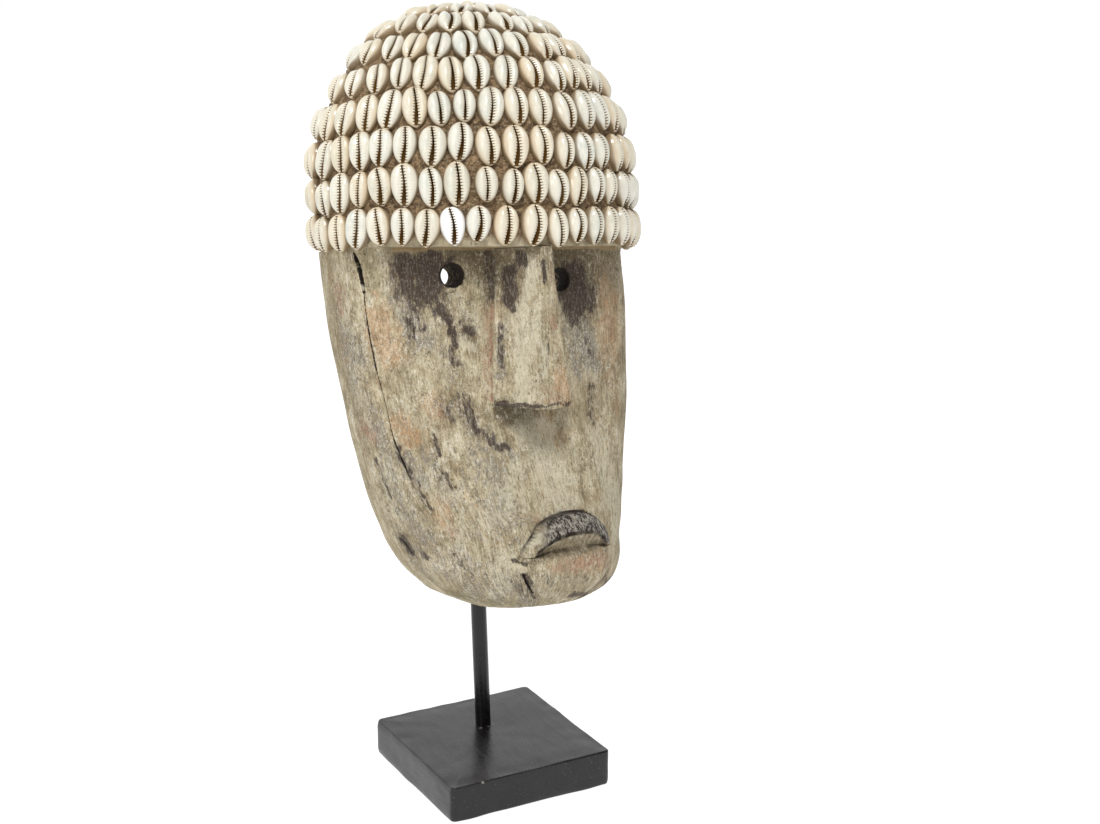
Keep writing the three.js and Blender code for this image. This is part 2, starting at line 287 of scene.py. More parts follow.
def cloud_of(tree, place, size, stretch, detail, rough):
    """Noise as it comes, its lumps of a size in mm."""
    shaped = add(tree, "ShaderNodeMapping",
                 {"Vector": place, "Scale": tuple(1 / (size * s) for s in stretch)})
    return add(tree, "ShaderNodeTexNoise",
               {"Vector": shaped, "Scale": 1.0, "Detail": detail, "Roughness": rough})


def mottle(tree, place, size, low, high, stretch=(1, 1, 1), detail=3.0, rough=0.6):
    """Mask of noise lumps of a size in mm, rising from 0 at low to 1 at high."""
    cloud = cloud_of(tree, place, size, stretch, detail, rough)
    return add(tree, "ShaderNodeMapRange", (cloud, low, high), **SOFT_STEP)


def lay(tree, ground, coats):
    """Lays coats over a ground colour: masks and shares that are multiplied, then the colour of the coat."""
    for mask, *others, colour in coats:
        for other in others:
            mask = add(tree, "ShaderNodeMath", (mask, other), operation="MULTIPLY")
        ground = add(tree, "ShaderNodeMix", {0: mask, 6: ground, 7: colour}, out=2, data_type="RGBA")
    return ground


# Carved head

def face_outline(z):
    """Half width, centre and front of the face at a height."""
    return [smooth(FACE_HEIGHTS, values, z) for values in (FACE_HALF_WIDTHS, FACE_CENTRES, FACE_FRONTS)]


def face_ring(height, inset, turns):
    """Ring of the face at one height; turns are measured from the front."""
    wide, centre, front = face_outline(height)
    x = power(np.sin(turns), 2 / SQUARENESS) * (wide - inset)
    deep = -power(np.cos(turns), 2 / SQUARENESS)
    y = centre + deep * np.where(deep < 0, centre - (front + inset), BACK_REACH)
    z = height + CHIN_SLOPE * np.maximum(0, y - CHIN_FRONT) * (1 - ramp(CHIN_FLAT, 30, height))
    return np.stack([x, y, z + np.zeros_like(x)], -1)


def cap_share(height, top):
    up = np.maximum(0, (height - CAP_SPRING) / (top - CAP_SPRING))
    return np.maximum(0, 1 - up ** CAP_POWER) ** (1 / CAP_POWER)


def cap_centre(height):
    return CAP_CENTRE + 0.0234 * (height - 200)


def cap_ring(height, inset, turns, top=None):
    share = max(float(cap_share(height, CAP_TOP - inset if top is None else top)), 0.012)
    x = (CAP_WIDE - inset) * share * np.sin(turns)
    y = cap_centre(height) - (CAP_DEEP - inset) * share * np.cos(turns)
    return np.stack([x, y, np.full_like(x, height)], -1)


def face_depth(x, z):
    """Depth of the face's front surface."""
    wide, centre, front = face_outline(z)
    side = np.clip(np.abs(np.asarray(x, float)) / wide, 0, 0.999)
    return centre - (centre - front) * (1 - side ** SQUARENESS) ** (1 / SQUARENESS)


def side_table():
    """Turns from the middle of the face, and the length round it up to each, on the gauge ring."""
    turns = np.linspace(0, 3.0, 3001)
    ring = face_ring(GAUGE_HEIGHT, 0, turns)
    steps = np.hypot(*np.diff(ring[:, :2], axis=0).T)
    return turns, np.concatenate([[0], np.cumsum(steps)])


def round_place(points):
    """How far round the face points lie from its middle: on the gauge ring, and at their own height."""
    x, y, z = points.T
    wide, centre, front = face_outline(z)
    side = np.minimum(np.abs(x) / wide, 1) ** (SQUARENESS / 2)
    ahead = np.where(y < centre, (centre - y) / (centre - front), (centre - y) / BACK_REACH)
    turn = np.arctan2(side, power(np.clip(ahead, -1, 1), SQUARENESS / 2))
    even = np.sign(x) * np.interp(turn, *SIDE_TABLE)
    return even, even * wide / GAUGE_HALF_WIDTH


def face_point(round_mm, z):
    """Points of the face at lengths round it and heights."""
    turn_at, length_at = SIDE_TABLE
    turns = np.interp(np.abs(round_mm) * GAUGE_HALF_WIDTH / face_outline(z)[0], length_at, turn_at)
    return np.array([face_ring(height, 0, np.array([turn]))[0] * (np.sign(length), 1, 1)
                     for length, height, turn in zip(round_mm, z, turns)])


def ledge_height(x):
    return LEDGE_FRONT + (LEDGE_SIDE - LEDGE_FRONT) * (x / LEDGE_HALF_WIDTH) ** 2


SIDE_TABLE = side_table()


def outer_rings():
    """Rings of the head's outside, from the chin up to the crown, their points closest on the front."""
    turns = np.concatenate([np.linspace(-FRONT_TURN, FRONT_TURN, 261),
                            np.linspace(FRONT_TURN, 2 * math.pi - FRONT_TURN, 22)[1:-1]])
    first = face_ring(CHIN_FLAT, 0, turns)
    middle = first.mean(0)
    rings = [middle + (first - middle) * share - (0, 0, 0.25 * (1 - share))
             for share in (0.08, 0.25, 0.45, 0.63, 0.78, 0.9, 0.965)]
    for height in np.concatenate([np.linspace(CHIN_FLAT, 2, 8), np.linspace(3, LEDGE_FRONT, 150)]):
        ring = face_ring(height, 0, turns)
        ring[:, 2] += (ledge_height(ring[:, 0]) - LEDGE_FRONT) * float(ramp(168, LEDGE_FRONT, height))
        rings.append(ring)
    inner, lip = rings[-1], cap_ring(LEDGE_FRONT, WOOD_DROP, turns)
    lip[:, 2] = ledge_height(lip[:, 0])
    rings += [inner + (lip - inner) * share for share in (0.04, 0.15, 0.35, 0.55, 0.75, 0.9, 0.97)]
    softened = lip + (0, 0, 0.25)
    softened[:, :2] -= (softened[:, :2] - (0, 8)) * 0.12 / 85
    rings += [softened, lip + (0, 0, 0.8)]
    for height in np.linspace(LEDGE_FRONT + 2.3, CAP_SPRING, 19):
        ring = cap_ring(height, WOOD_DROP, turns)
        ring[:, 2] += (ledge_height(ring[:, 0]) - LEDGE_FRONT) * (1 - float(ramp(188, 205, height)))
        rings.append(ring)
    top = CAP_TOP - WOOD_DROP
    for tilt in np.linspace(0, math.pi / 2, 84)[1:-1]:
        height = CAP_SPRING + (top - CAP_SPRING) * math.sin(tilt) ** (2 / CAP_POWER)
        rings.append(cap_ring(min(height, top - 0.01), WOOD_DROP, turns))
    return np.array(rings)


def grid_normals(rings):
    """Outward directions at the points of a stack of rings."""
    along = np.roll(rings, -1, 1) - np.roll(rings, 1, 1)
    up = np.empty_like(rings)
    up[1:-1] = rings[2:] - rings[:-2]
    up[0], up[-1] = rings[1] - rings[0], rings[-1] - rings[-2]
    normals = np.cross(along, up)
    return normals / (np.linalg.norm(normals, axis=-1, keepdims=True) + 1e-9)


def bed_amount(p):
    """Where the glue paste lies on the dome: everywhere but the lip and a bare place by the left rim."""
    x, y, z = p[..., 0], p[..., 1], p[..., 2]
    on = ramp(3.0, 5.5, z - ledge_height(x) + 1.2 * lumps(p, 5, 31)) * (z > LEDGE_FRONT + 1)
    bare = ramp(9, 5, np.hypot(np.hypot(x + 78, (y - 19) * 0.8), z - 279) - 2)
    return on * (1 - 0.9 * bare)


def worked_rings():
    """Outer rings with the marks of the knife, the grain, and the lumps of the paste."""
    rings = outer_rings()
    knife = 0.55 * lumps(rings, (13, 13, 24), 3) + 0.28 * lumps(rings, (6, 6, 14), 4)
    fibre = 0.10 * lumps(rings, (1.6, 1.6, 16), 5) + 0.07 * lumps(rings, (2.8, 2.8, 7), 6)
    face = ramp(LEDGE_FRONT + 0.3, LEDGE_FRONT - 1.5, rings[..., 2])
    calm = ramp(CHIN_FLAT, 6, rings[..., 2])
    move = (knife * 0.55 * calm + fibre) * face - 0.25 * face
    paste = 2.3 + 0.9 * lumps(rings, 6.5, 7) + 0.75 * lumps(rings, 2.6, 8)
    paste += 0.3 * np.abs(lumps(rings, 1.3, 9))
    move += bed_amount(rings) * paste + (1 - face) * 0.15 * lumps(rings, (8, 8, 4), 10)
    return rings + grid_normals(rings) * move[..., None]


def box_solid(name, low, high):
    corners = [[(low[0], low[1], z), (high[0], low[1], z), (high[0], high[1], z), (low[0], high[1], z)]
               for z in (low[2], high[2])]
    return stack(name, corners)


def hollow_solid():
    """The hollow behind the face and under the dome, gouged out and pinched in at its foot."""
    turns = np.linspace(0, 2 * math.pi, 97)[:-1]
    rings = []
    for height in np.concatenate([np.linspace(HOLLOW_FLOOR, HOLLOW_FLOOR + 15, 12), np.linspace(64, 280, 64),
                                  np.linspace(HOLLOW_TOP - 21, HOLLOW_TOP - 0.5, 11)]):
        in_face = face_ring(height, WALL, turns)
        in_cap = cap_ring(min(height, HOLLOW_TOP - 0.5), WALL + WOOD_DROP, turns, HOLLOW_TOP)
        in_cap[:, 1] = np.where(in_cap[:, 1] > 10, OPEN_BACK, in_cap[:, 1])
        mix = float(ramp(176, 206, height))
        pinch = math.sqrt(min(1, (height - HOLLOW_FLOOR + 3) / 14))
        ring = (in_face * (1 - mix) + in_cap * mix) * (pinch, pinch, 1) + (0, (1 - pinch) * 34, 0)
        ring[:, 2] = height
        rings.append(ring)
    rings = np.array(rings)
    gouge = 0.9 * lumps(rings, (11, 11, 26), 12) + 0.5 * np.abs(lumps(rings, (7, 7, 15), 13))
    rings = rings - grid_normals(rings) * (0.3 + gouge * ramp(40, 24, rings[..., 1]))[..., None]
    return stack("hollow", rings)


PATH_STEPS = 1200  # fine steps that a rounded outline is averaged over


def ring_path(corners, count, soft):
    """Closed outline through corners, its corners rounded over about soft mm, with count points."""
    corners = np.array(corners, float)
    closed = np.concatenate([corners, corners[:1]])
    steps = np.linalg.norm(np.diff(closed, axis=0), axis=1)
    lengths = np.concatenate([[0], np.cumsum(steps)])
    fine = np.linspace(0, lengths[-1], PATH_STEPS, endpoint=False)
    dense = np.stack([np.interp(fine, lengths, closed[:, axis]) for axis in range(closed.shape[1])], -1)
    reach = max(1, int(soft / (lengths[-1] / PATH_STEPS)))
    window = np.hanning(2 * reach + 3)[1:-1]
    window /= window.sum()
    wrapped = np.concatenate([dense[-reach:], dense, dense[:reach]])
    rounded = [np.convolve(wrapped[:, axis], window, "valid") for axis in range(closed.shape[1])]
    return np.stack(rounded, -1)[(np.arange(count) * PATH_STEPS / count).astype(int)]


def nose_solid():
    """The nose: a wedge with a narrow flat ridge and hollow flanks, its lower left edge chipped."""
    rows, top, bottom, rings = 88, 186.3, 101.5, []
    for t in np.arange(rows + 1) / rows:
        left, right = -18.4 - 5.6 * t, 15 + 8 * t
        strip_left, strip_right = -2.6 - 7.9 * t, 3.4 + 5.6 * t
        root, tip = -49 - 4 * t, -73 - 5 * t
        hollow = 1.3 * math.sin(math.pi * min(1, t * 1.1))
        mid_left = ((left + strip_left) / 2 + hollow, (root + tip) / 2 + 0.4 * hollow)
        mid_right = ((right + strip_right) / 2 - 0.6 * hollow, (root + tip) / 2 + 0.3 * hollow)
        outline = ring_path([(left + 5, -39), (left, root + 2), (left + 0.3, root), mid_left,
                             (strip_left, tip), ((strip_left + strip_right) / 2, tip - 0.4 - 0.6 * t),
                             (strip_right, tip), mid_right, (right - 0.3, root), (right, root + 2),
                             (right - 5, -39)], 136, 2.0)
        slope = (outline[:, 1] + 78) / 25 * 2.5 * t + np.clip((outline[:, 0] + 4) / 13, 0, 1) * 1.3 * t
        rings.append(np.column_stack([outline, top + (bottom - top) * t + np.clip(slope, 0, 4.5)]))
    rings = np.array(rings)
    wear = 0.22 * lumps(rings, (7, 7, 22), 14) + 0.10 * lumps(rings, (1.7, 1.7, 15), 15)
    rings = rings + grid_normals(rings) * wear[..., None]
    last, middle = rings[-1].copy(), rings[-1].mean(0)
    chips = np.clip(lumps(last, (2.2, 9, 9), 16), 0, 1)
    chips *= ramp(2, -9, last[:, 0]) * ramp(-60, -66, last[:, 1])
    rings[-1, :, 2] += 1.6 * chips
    rings[-2, :, 2] += 1.1 * chips
    ends = []
    for share, sink in ((0.975, 0.45), (0.9, 0.6), (0.7, 0.6), (0.4, 0.6), (0.1, 0.6)):
        inner = middle + (last - middle) * (share, share, 1)
        inner[:, 2] += 1.6 * chips * (share > 0.8) - sink
        ends.append(inner)
    return stack("nose", np.concatenate([rings, ends])[::-1])


UPPER_OUTER = [(-24, 23), (-22.2, 26.5), (-20.6, 30), (-12.6, 40.6), (-5.2, 44), (3.6, 46), (11.6, 46.6),
               (17.8, 45.8), (24.2, 42.4), (29.5, 36.6), (34, 27.5)]
UPPER_INNER = [(-18.5, 25.2), (-16.6, 27.4), (-12.2, 31.2), (-8, 33.4), (0.4, 35.7), (11.3, 36.1),
               (18.3, 34.6), (23.7, 31), (27, 28)]
GAP_LINE = [(-18.5, 24.6), (-9.8, 27.0), (0.4, 28), (10.8, 28.6), (20, 28.3), (27, 27.4)]
LOWER_EDGE = [(-18.5, 24), (-14, 19), (-4.9, 14.6), (7.1, 12.3), (16.2, 13.2), (22, 17.5), (27, 25)]
BOSS_BELOW = [(-29, 26), (-24, 19), (-18.5, 11), (-11, 3.5), (-3, 0), (6, -1.5), (16, 0), (26, 5), (33, 14),
              (35, 26)]


def line_at(points, x):
    points = np.array(points, float)
    return np.interp(x, points[:, 0], points[:, 1])


def mouth_rise(x, z):
    """How far the mouth stands off the face, with the place across the dark band of the upper lip."""
    p = np.stack([x, np.zeros_like(x), z], -1)
    waver = 0.35 * lumps(p, 6, 21)
    outer, inner = line_at(UPPER_OUTER, x) + waver, line_at(UPPER_INNER, x) + 0.5 * waver
    gap, lower, below = line_at(GAP_LINE, x), line_at(LOWER_EDGE, x), line_at(BOSS_BELOW, x)
    taper = ramp(-24, -9, x) * ramp(33, 22, x)
    crest = 1.6 + 3.6 * taper
    across = (z - inner) / np.maximum(outer - inner, 0.5)
    lip = crest + (2.2 - crest) * np.clip(across, 0, 1.4)
    under = np.clip((z - gap) / np.maximum(inner - gap, 0.6), 0, 1)
    recess = -0.6 * taper + (crest + 0.6 * taper) * under ** 1.7
    down = np.clip((gap - z) / np.maximum(gap - lower, 0.6), 0, 1.5)
    lower_lip = 0.2 + (0.6 + 3.3 * taper) * ramp(0, 0.2, down) * (1 - 0.35 * np.clip(down, 0, 1) ** 2)
    toe = np.clip((z - below) / np.maximum(lower - below, 0.6), 0, 1)
    chin = (0.2 + (0.6 + 3.3 * taper) * 0.65) * toe ** 0.8 + 0.5 * np.sin(math.pi * toe)
    rise = np.where(z > inner, lip, np.where(z > gap, recess, np.where(z > lower, lower_lip, chin)))
    round_out = np.clip(1 - ((x - 3) / 34) ** 2 - ((z - 22.5) / 26) ** 2, 0, 1)
    rise = rise + 8.0 * round_out ** 0.75 - 0.4
    edge = np.minimum(ramp(0.7, -0.7, z - outer), ramp(-1.4, 1.0, z - below))
    edge = edge * ramp(-26, -22.5, x) * ramp(37.5, 34.5, x)
    rise = rise * edge - 3.5 * (1 - edge)
    rise += 0.18 * lumps(p, (5, 5, 8), 22) + 0.10 * lumps(p, (1.6, 1.6, 2.6), 23)
    return rise, across


def mouth_solid():
    """The raised mouth: dark upper lip, its hollow underside, the gap and the sloping lower lip."""
    across, up = np.meshgrid(np.linspace(-1, 1, 119), np.linspace(-2.4, 50, 96))
    x, z = 3 + across * (20 + 15.5 * ramp(-3, 15, up)), up
    surface = face_depth(x, z) - mouth_rise(x, z)[0]
    back = np.maximum(surface, face_depth(x, z)) + 5
    rows, columns = x.shape
    points = np.concatenate([np.stack([x, depth, z], -1).reshape(-1, 3) for depth in (surface, back)])
    faces, size = [], rows * columns
    for a in (r * columns + c for r in range(rows - 1) for c in range(columns - 1)):
        b = size + a
        faces += [(a, a + 1, a + columns + 1, a + columns), (b + columns, b + columns + 1, b + 1, b)]
    border = ([(0, c) for c in range(columns)] + [(r, columns - 1) for r in range(1, rows)]
              + [(rows - 1, c) for c in range(columns - 2, -1, -1)]
              + [(r, 0) for r in range(rows - 2, 0, -1)])
    ids = [r * columns + c for r, c in border]
    faces += [(b, a, size + a, size + b) for a, b in zip(ids, ids[1:] + ids[:1])]
    return closed_body("mouth", to_world(points), faces)


def blade(path, depth, width):
    """Wedge that opens a crack along a path of (length round the face, height, share of the width)."""
    path = np.array(path, float)
    lengths = np.concatenate([[0], np.cumsum(np.hypot(*np.diff(path[:, :2], axis=0).T))])
    at = np.arange(0, lengths[-1] + 0.5, 0.9)
    u, z, share = (np.interp(at, lengths, path[:, k]) for k in range(3))
    probe = np.stack([u, z, at], -1)
    u = u + 0.35 * lumps(probe, 3.2, 41) + 0.22 * lumps(probe, 1.3, 42)
    share = np.maximum(0.12, share * (1 + 0.35 * lumps(probe, 2.1, 43)))
    centre = face_point(u, z)
    side = face_point(u + 0.4, z) - face_point(u - 0.4, z)
    side /= np.linalg.norm(side, axis=1, keepdims=True)
    out = np.stack([side[:, 1], -side[:, 0], np.zeros_like(u)], -1)
    half = (width / 2 * share)[:, None]
    deep = (depth * np.minimum(1, share + 0.3))[:, None]
    rings = np.stack([centre + out * 2.2 + side * half * 1.5, centre + out * 2.2 - side * half * 1.5,
                      centre - out * deep * 0.6 - side * half * 0.5, centre - out * deep,
                      centre - out * deep * 0.6 + side * half * 0.5], 1)
    return stack("blade", rings)


def round_bar(start, end, radii, count):
    """Straight bar as rings of points, with (share of the way, radius) for each of its levels."""
    start, end = np.array(start, float), np.array(end, float)
    way = (end - start) / np.linalg.norm(end - start)
    side = np.cross(way, (0, 0.3, 1) if abs(way[2]) < 0.9 else (1, 0, 0))
    side /= np.linalg.norm(side)
    other = np.cross(way, side)
    turns = np.linspace(0, 2 * math.pi, count + 1)[:-1, None]
    return np.array([start + (end - start) * t + radius * (np.cos(turns) * side + np.sin(turns) * other)
                     for t, radius in radii])


# Cracks and gouges: depth, width, and the path in lengths round the face, heights and shares of the width
CRACKS = [
    (3.4, 2.7, [(-92.8, 187, 0.3), (-91.7, 184.3, 0.7), (-90.3, 180, 1), (-89.6, 175.1, 1.1),
                (-89, 169.8, 1), (-88.8, 165.6, 0.3)]),
    (2.4, 0.5, [(-88.9, 164.5, 0.5), (-88.9, 159.2, 1), (-88, 148.6, 1.3), (-86.7, 135.4, 1.4),
                (-85.3, 124.8, 1.2), (-83.7, 116.8, 0.6), (-81.7, 107.3, 0.8), (-79.9, 95.6, 0.6),
                (-78.5, 87.7, 0.9), (-75.9, 79.7, 1.7), (-73.7, 72.8, 1.6), (-72.2, 67.5, 0.5)]),
    (0.7, 0.4, [(-72, 68, 0.6), (-69.2, 60.1, 1), (-65.7, 54.3, 1.2), (-62.2, 49.6, 0.4)]),
    (1.2, 1.2, [(-80.1, 34, 0.4), (-76.6, 31, 1), (-74.6, 26.5, 0.4)]),
    (1.0, 0.8, [(-70.2, 29.6, 0.4), (-67.2, 26.7, 0.8)]),
    (0.7, 0.5, [(-94.6, 77.8, 0.3), (-88.9, 65.9, 1), (-82.9, 56.4, 0.4)]),
    (0.8, 0.5, [(-58.7, 75.7, 0.3), (-54.3, 67.2, 1), (-48.7, 60.8, 0.4)]),
    (1.6, 1.3, [(-21.4, 16.4, 0.5), (-19.2, 12, 1.2), (-16.4, 7.6, 0.9), (-14.2, 5.2, 0.2)]),
]


def build_head():
    """The head as one solid: nose and mouth joined on, then cracks, hollow, eyes and rod hole cut."""
    head = stack("carved_head_worked", worked_rings())
    carve(head, nose_solid(), "UNION")
    carve(head, mouth_solid(), "UNION")
    for depth, width, path in CRACKS:
        carve(head, blade(path, depth, width), "DIFFERENCE")
    carve(head, box_solid("behind", (-140, BACK_PLANE, -40), (140, 200, 380)), "DIFFERENCE")
    carve(head, hollow_solid(), "DIFFERENCE")
    for x, z in EYES:
        front = float(face_depth(x, z))
        flare = [(0, 1.2), (0.2, 1.15), (0.25, 1.03), (0.3, 0.96), (0.6, 0.93), (1, 0.93)]
        rings = round_bar((x, front - 8, z), (x, front + 26, z), [(t, EYE_RADIUS * r) for t, r in flare], 36)
        rings = rings + 0.35 * lumps(rings, 3.5, 51)[..., None] * np.array([1, 0, 1])
        carve(head, stack("eye", rings), "DIFFERENCE")
    low, high = to_head([(ROD_FOOT + ROD_WAY * height) * MM for height in (60, ROD_HOLE_TOP)])
    hole = [(0, ROD_HOLE_RADIUS), (0.5, ROD_HOLE_RADIUS), (1, ROD_HOLE_RADIUS - 0.05)]
    carve(head, stack("rod_hole", round_bar(low, high, hole, 32)), "DIFFERENCE")
    return head


# Stains, with a few strokes of painted shade and shadow among them, as strokes of the brush: from (across,
# height) to (across, height), half width, strength, in mm.
# Across is the length round the face in the first set, and the head's x on the nose and the mouth.
FACE_STAINS = {
    "dark": [(-66, 180, -65, 168, 6, 0.85), (-54, 179, -54, 165, 6.5, 1), (-61, 166, -63, 148, 5, 0.5),
        (-70, 174, -69, 162, 3.5, 0.5), (-47, 179.5, -41, 181.5, 1.5, 0.95),
        (-50, 173.5, -46.5, 170.5, 2, 0.8), (-50, 157, -45.5, 149.5, 2.5, 0.85),
        (-54.5, 158, -51, 154, 2, 0.5), (-44, 143, -42, 137.5, 1.5, 0.85),
        (-39.5, 147.5, -37, 145, 1.5, 0.65), (-35.5, 145.5, -33, 143.5, 2, 0.85),
        (-45, 146.5, -43, 144, 1.5, 0.8), (-45, 132, -42, 127.5, 2, 0.65), (-41, 126, -38.5, 122.5, 1, 0.5),
        (-63, 159, -62, 156.5, 1.5, 0.8), (-66.5, 152.5, -63.5, 145, 0.9, 0.9),
        (-64.5, 143.5, -64.5, 138.5, 1.5, 0.55), (-59.5, 146.5, -58, 144.5, 1, 0.65),
        # the stroke (-21, 188, -20, 160) is a painted shadow down the groove at the left root of the nose
        (-21, 188, -20, 160, 3, 0.6), (32, 173, 37, 158, 7, 1), (26, 161, 31, 149, 4.5, 0.75),
        (44, 169, 44, 154, 4, 0.65), (40.5, 110, 37, 91, 2.5, 0.5), (40, 134, 42, 127, 3, 0.4),
        (-36.5, 99.5, -35.5, 90.5, 2, 0.7), (-35.5, 90, -29.5, 88, 1.5, 0.7), (-30, 88.5, -17.5, 79, 2, 0.65),
        (-49, 105, -47.5, 97, 2, 0.5), (-40.5, 108, -36.5, 99.5, 3, 0.5), (-58, 73.5, -48.5, 61, 0.7, 0.7),
        (-57.5, 88.5, -55.5, 77.5, 1, 0.65), (-76, 84, -72, 71, 1.5, 0.7), (-92.5, 75.5, -83, 56.5, 0.8, 0.6),
        (-72, 67.5, -62, 49.5, 0.8, 0.75), (-80, 34, -74.5, 26.5, 1.5, 0.9),
        (-70, 29.5, -67, 26.5, 0.8, 0.75), (-91, 48.5, -89.5, 43.5, 2.5, 0.55),
        (-54.5, 26.5, -45.5, 17.5, 0.8, 0.5), (-26.5, 13, -15, 2.5, 2.5, 0.4), (-67.5, 181, -65, 183, 1, 0.3),
        (24, -2, 44, 8, 2, 0.6)],
    "grey": [(-70, 161, -58, 138, 6, 0.6), (-73, 170, -72, 161, 3.5, 0.5), (-110, 142, -98, 132, 9.5, 0.55),
        (-106, 125, -109, 112, 13, 0.45), (-95, 109, -90, 96, 7, 0.45), (-87, 95, -86, 82, 4, 0.6),
        (-86, 74, -78, 56, 6, 0.5), (-77, 53, -67, 37, 5, 0.5), (-74, 78, -67, 65, 5, 0.6),
        (-33, 78, -27, 44, 9.5, 0.5), (-61, 77, -53, 58, 5, 0.5), (-61, 23, -43, 8, 7, 0.45),
        (35, 146, 42, 126, 6.5, 0.75), (27, 147, 31, 119, 4, 0.6), (-41, 160, -29, 144, 5, 0.35),
        (-55, 140, -45, 121, 5, 0.35), (-48, 105, -34, 90, 5, 0.5), (-30, 88, -16, 77, 3.5, 0.5),
        (-53, 27, -31, 5, 5.5, 0.45), (-33, 16, -15, 2, 5, 0.5), (-81, 30, -70, 18, 8.5, 0.4),
        (-44, 66, -42, 35, 4.5, 0.3), (-105, 163, -101, 149, 5, 0.3)],
    "ochre": [(-81, 151, -78, 133, 8, 1), (-58, 109, -54, 102, 4.5, 0.65), (-75, 98, -70, 88, 5.5, 0.85),
        (-58, 54, -56, 45, 4.5, 0.65), (-123, 186, -119, 176, 8, 0.6), (58, 160, 61, 133, 12, 0.7),
        (58, 115, 61, 102, 8, 0.5), (-58.5, 95, -62, 84.5, 2.5, 0.3), (-44, 55, -33, 34, 5.5, 0.3),
        (-86, 122, -85, 109, 4, 0.3), (-113, 92, -106, 80, 5.5, 0.5), (44, 90, 48, 65, 9, 0.35),
        (-115, 141, -113, 126, 6.5, 0.6), (-10, 64, 32, 50, 8, 0.25), (-82, 163.5, -80, 159, 2, 0.5),
        # (2, 99, 13, 84) warms the shadow cast by the nose: painted warm reflected light
        (2, 99, 13, 84, 6, 0.6)],
    "rose": [(-23, 157, -26, 108, 2, 0.5), (-20.5, 159.5, -23.5, 106.5, 0.6, 1),
        (-108, 168, -107, 158, 5, 0.65), (-102, 92, -91, 89, 4.5, 0.7), (-55, 41, -51.5, 38, 2.5, 0.6),
        (-54.5, 104, -52.5, 100.5, 2.5, 0.4), (-18.5, 54, -18, 48, 2.5, 0.3), (-60, 58, -53, 54, 3.5, 0.35),
        (59, 147, 61, 139, 5, 0.4)],
    "chalk": [(0, 90, 6, 58, 15, 0.6), (-36, 27, -28, 13, 8, 0.5), (40, 82, 46, 32, 10, 0.55),
        (-12, 72, -36, 44, 8, 0.5), (-58, 70, -52, 26, 7, 0.4), (-66, 122, -70, 106, 6, 0.35),
        (-41, 138, -35, 136, 3.5, 0.75), (-73, 160, -71, 156, 3.5, 0.4), (-64, 93, -50, 82, 4.5, 0.25),
        (-36, 155, -28, 148, 3, 0.4), (-29, 134, -35, 118, 3.5, 0.4), (-37, 40, -30, 24, 4, 0.25),
        (8, 63, 20, 57, 5, 0.3), (-76.5, 172, -75.5, 162.5, 2, 0.5), (-85, 169.5, -82, 161.5, 2, 0.4),
        (-68.5, 64, -64, 51.5, 1.5, 0.6), (-22, 86, -39, 55, 3, 0.2)],
    # the strokes at heights 185 to 188, here and (-27, 186, -14, 185) below, lay an olive band along the foot
    # of the ledge: painted shade under its overhang
    "moss": [(-91, 188, -27, 185, 3.5, 0.5), (20, 185, 76, 185, 4.5, 0.75), (-31, 184, -23, 164, 6, 0.6),
        (23, 179, 23, 166, 5, 0.9), (-103, 54, -85, 27, 4, 0.6), (-85, 27, -64, 4, 4.5, 0.7),
        (-64, 4, -27, 0, 3.5, 0.7), (-124, 120, -116, 87, 5.5, 0.45), (-120, 180, -112, 120, 9, 0.4),
        (-84, 186, -82, 168, 5, 0.5), (-83, 38, -73, 31, 5, 0.4), (37, 66, 53, 56, 6.5, 0.45),
        (18, 88, 19, 77, 5, 0.35), (-85, 183, -81, 167, 3.5, 0.35), (-45.5, 166.5, -32.5, 162, 2.5, 0.5),
        (19, 159, 51, 148, 3.5, 0.2), (25, 91, 58, 64, 6, 0.25), (-99.5, 189, -94, 184.5, 2.5, 0.5),
        (-27, 186, -14, 185, 3.5, 0.6), (-26.5, 0, -4, -2, 2.5, 0.6)],
}
NOSE_STAINS = {
    "dark": [(-13, 174.5, -14.5, 159, 2.5, 1), (-9.5, 183, -9.5, 176.5, 2, 0.8),
        (-15, 159, -13.5, 154, 1.5, 0.85), (-2, 178.5, -2.5, 168.5, 1, 0.9),
        (-2.5, 135.5, -4.5, 123.5, 0.7, 0.6), (-18.5, 146, -19.5, 124, 0.9, 0.6),
        (-20, 105, -23.5, 104, 1.5, 0.8), (6, 103.5, 8.5, 104, 1, 0.8), (-14, 104.5, -13, 103, 0.6, 0.6),
        # these two strokes along the lower edge of the nose are painted shade where the nose overhangs
        (-23.5, 103.5, -10, 102.5, 0.9, 1), (-10, 102.5, 9, 103.5, 0.7, 0.8)],
    "grey": [(-18, 146, -20.5, 118, 1.5, 0.6), (-16, 159, -17, 148.5, 1, 0.4),
        (-6.5, 142.5, -7, 116.5, 1.5, 0.3)],
    "ochre": [(4, 119, 6, 106, 5, 1), (-6.5, 106, 2.5, 104.5, 2, 0.5), (2.5, 137, 4, 126.5, 2.5, 0.3)],
    "rose": [(0.5, 148.5, 1, 143.5, 2, 0.6), (-4, 110, -2, 105, 3, 0.45), (-18, 159.5, -18.5, 143.5, 1, 0.35),
        (2, 178, 2.5, 163.5, 1, 0.5)],
    "chalk": [(-6, 176, -9, 159.5, 2, 0.8), (-11, 155, -15, 106, 3, 0.7), (-5, 160.5, -10, 131.5, 1.5, 0.7),
        (-4.5, 134.5, -5, 119.5, 2.5, 0.6), (-0.5, 183.5, 0.5, 178, 2, 0.4), (4.5, 158, 6, 142, 1, 0.3)],
    "moss": [(-16, 183, -15, 164, 3, 0.7), (-15.5, 172.5, -15.5, 159, 1, 0.5),
        (-7, 148, -4.5, 134.5, 1.5, 0.4), (-18.5, 133, -18.5, 119.5, 0.9, 0.4),
        (-6.5, 184.5, -3.5, 181, 3, 0.5)],
}
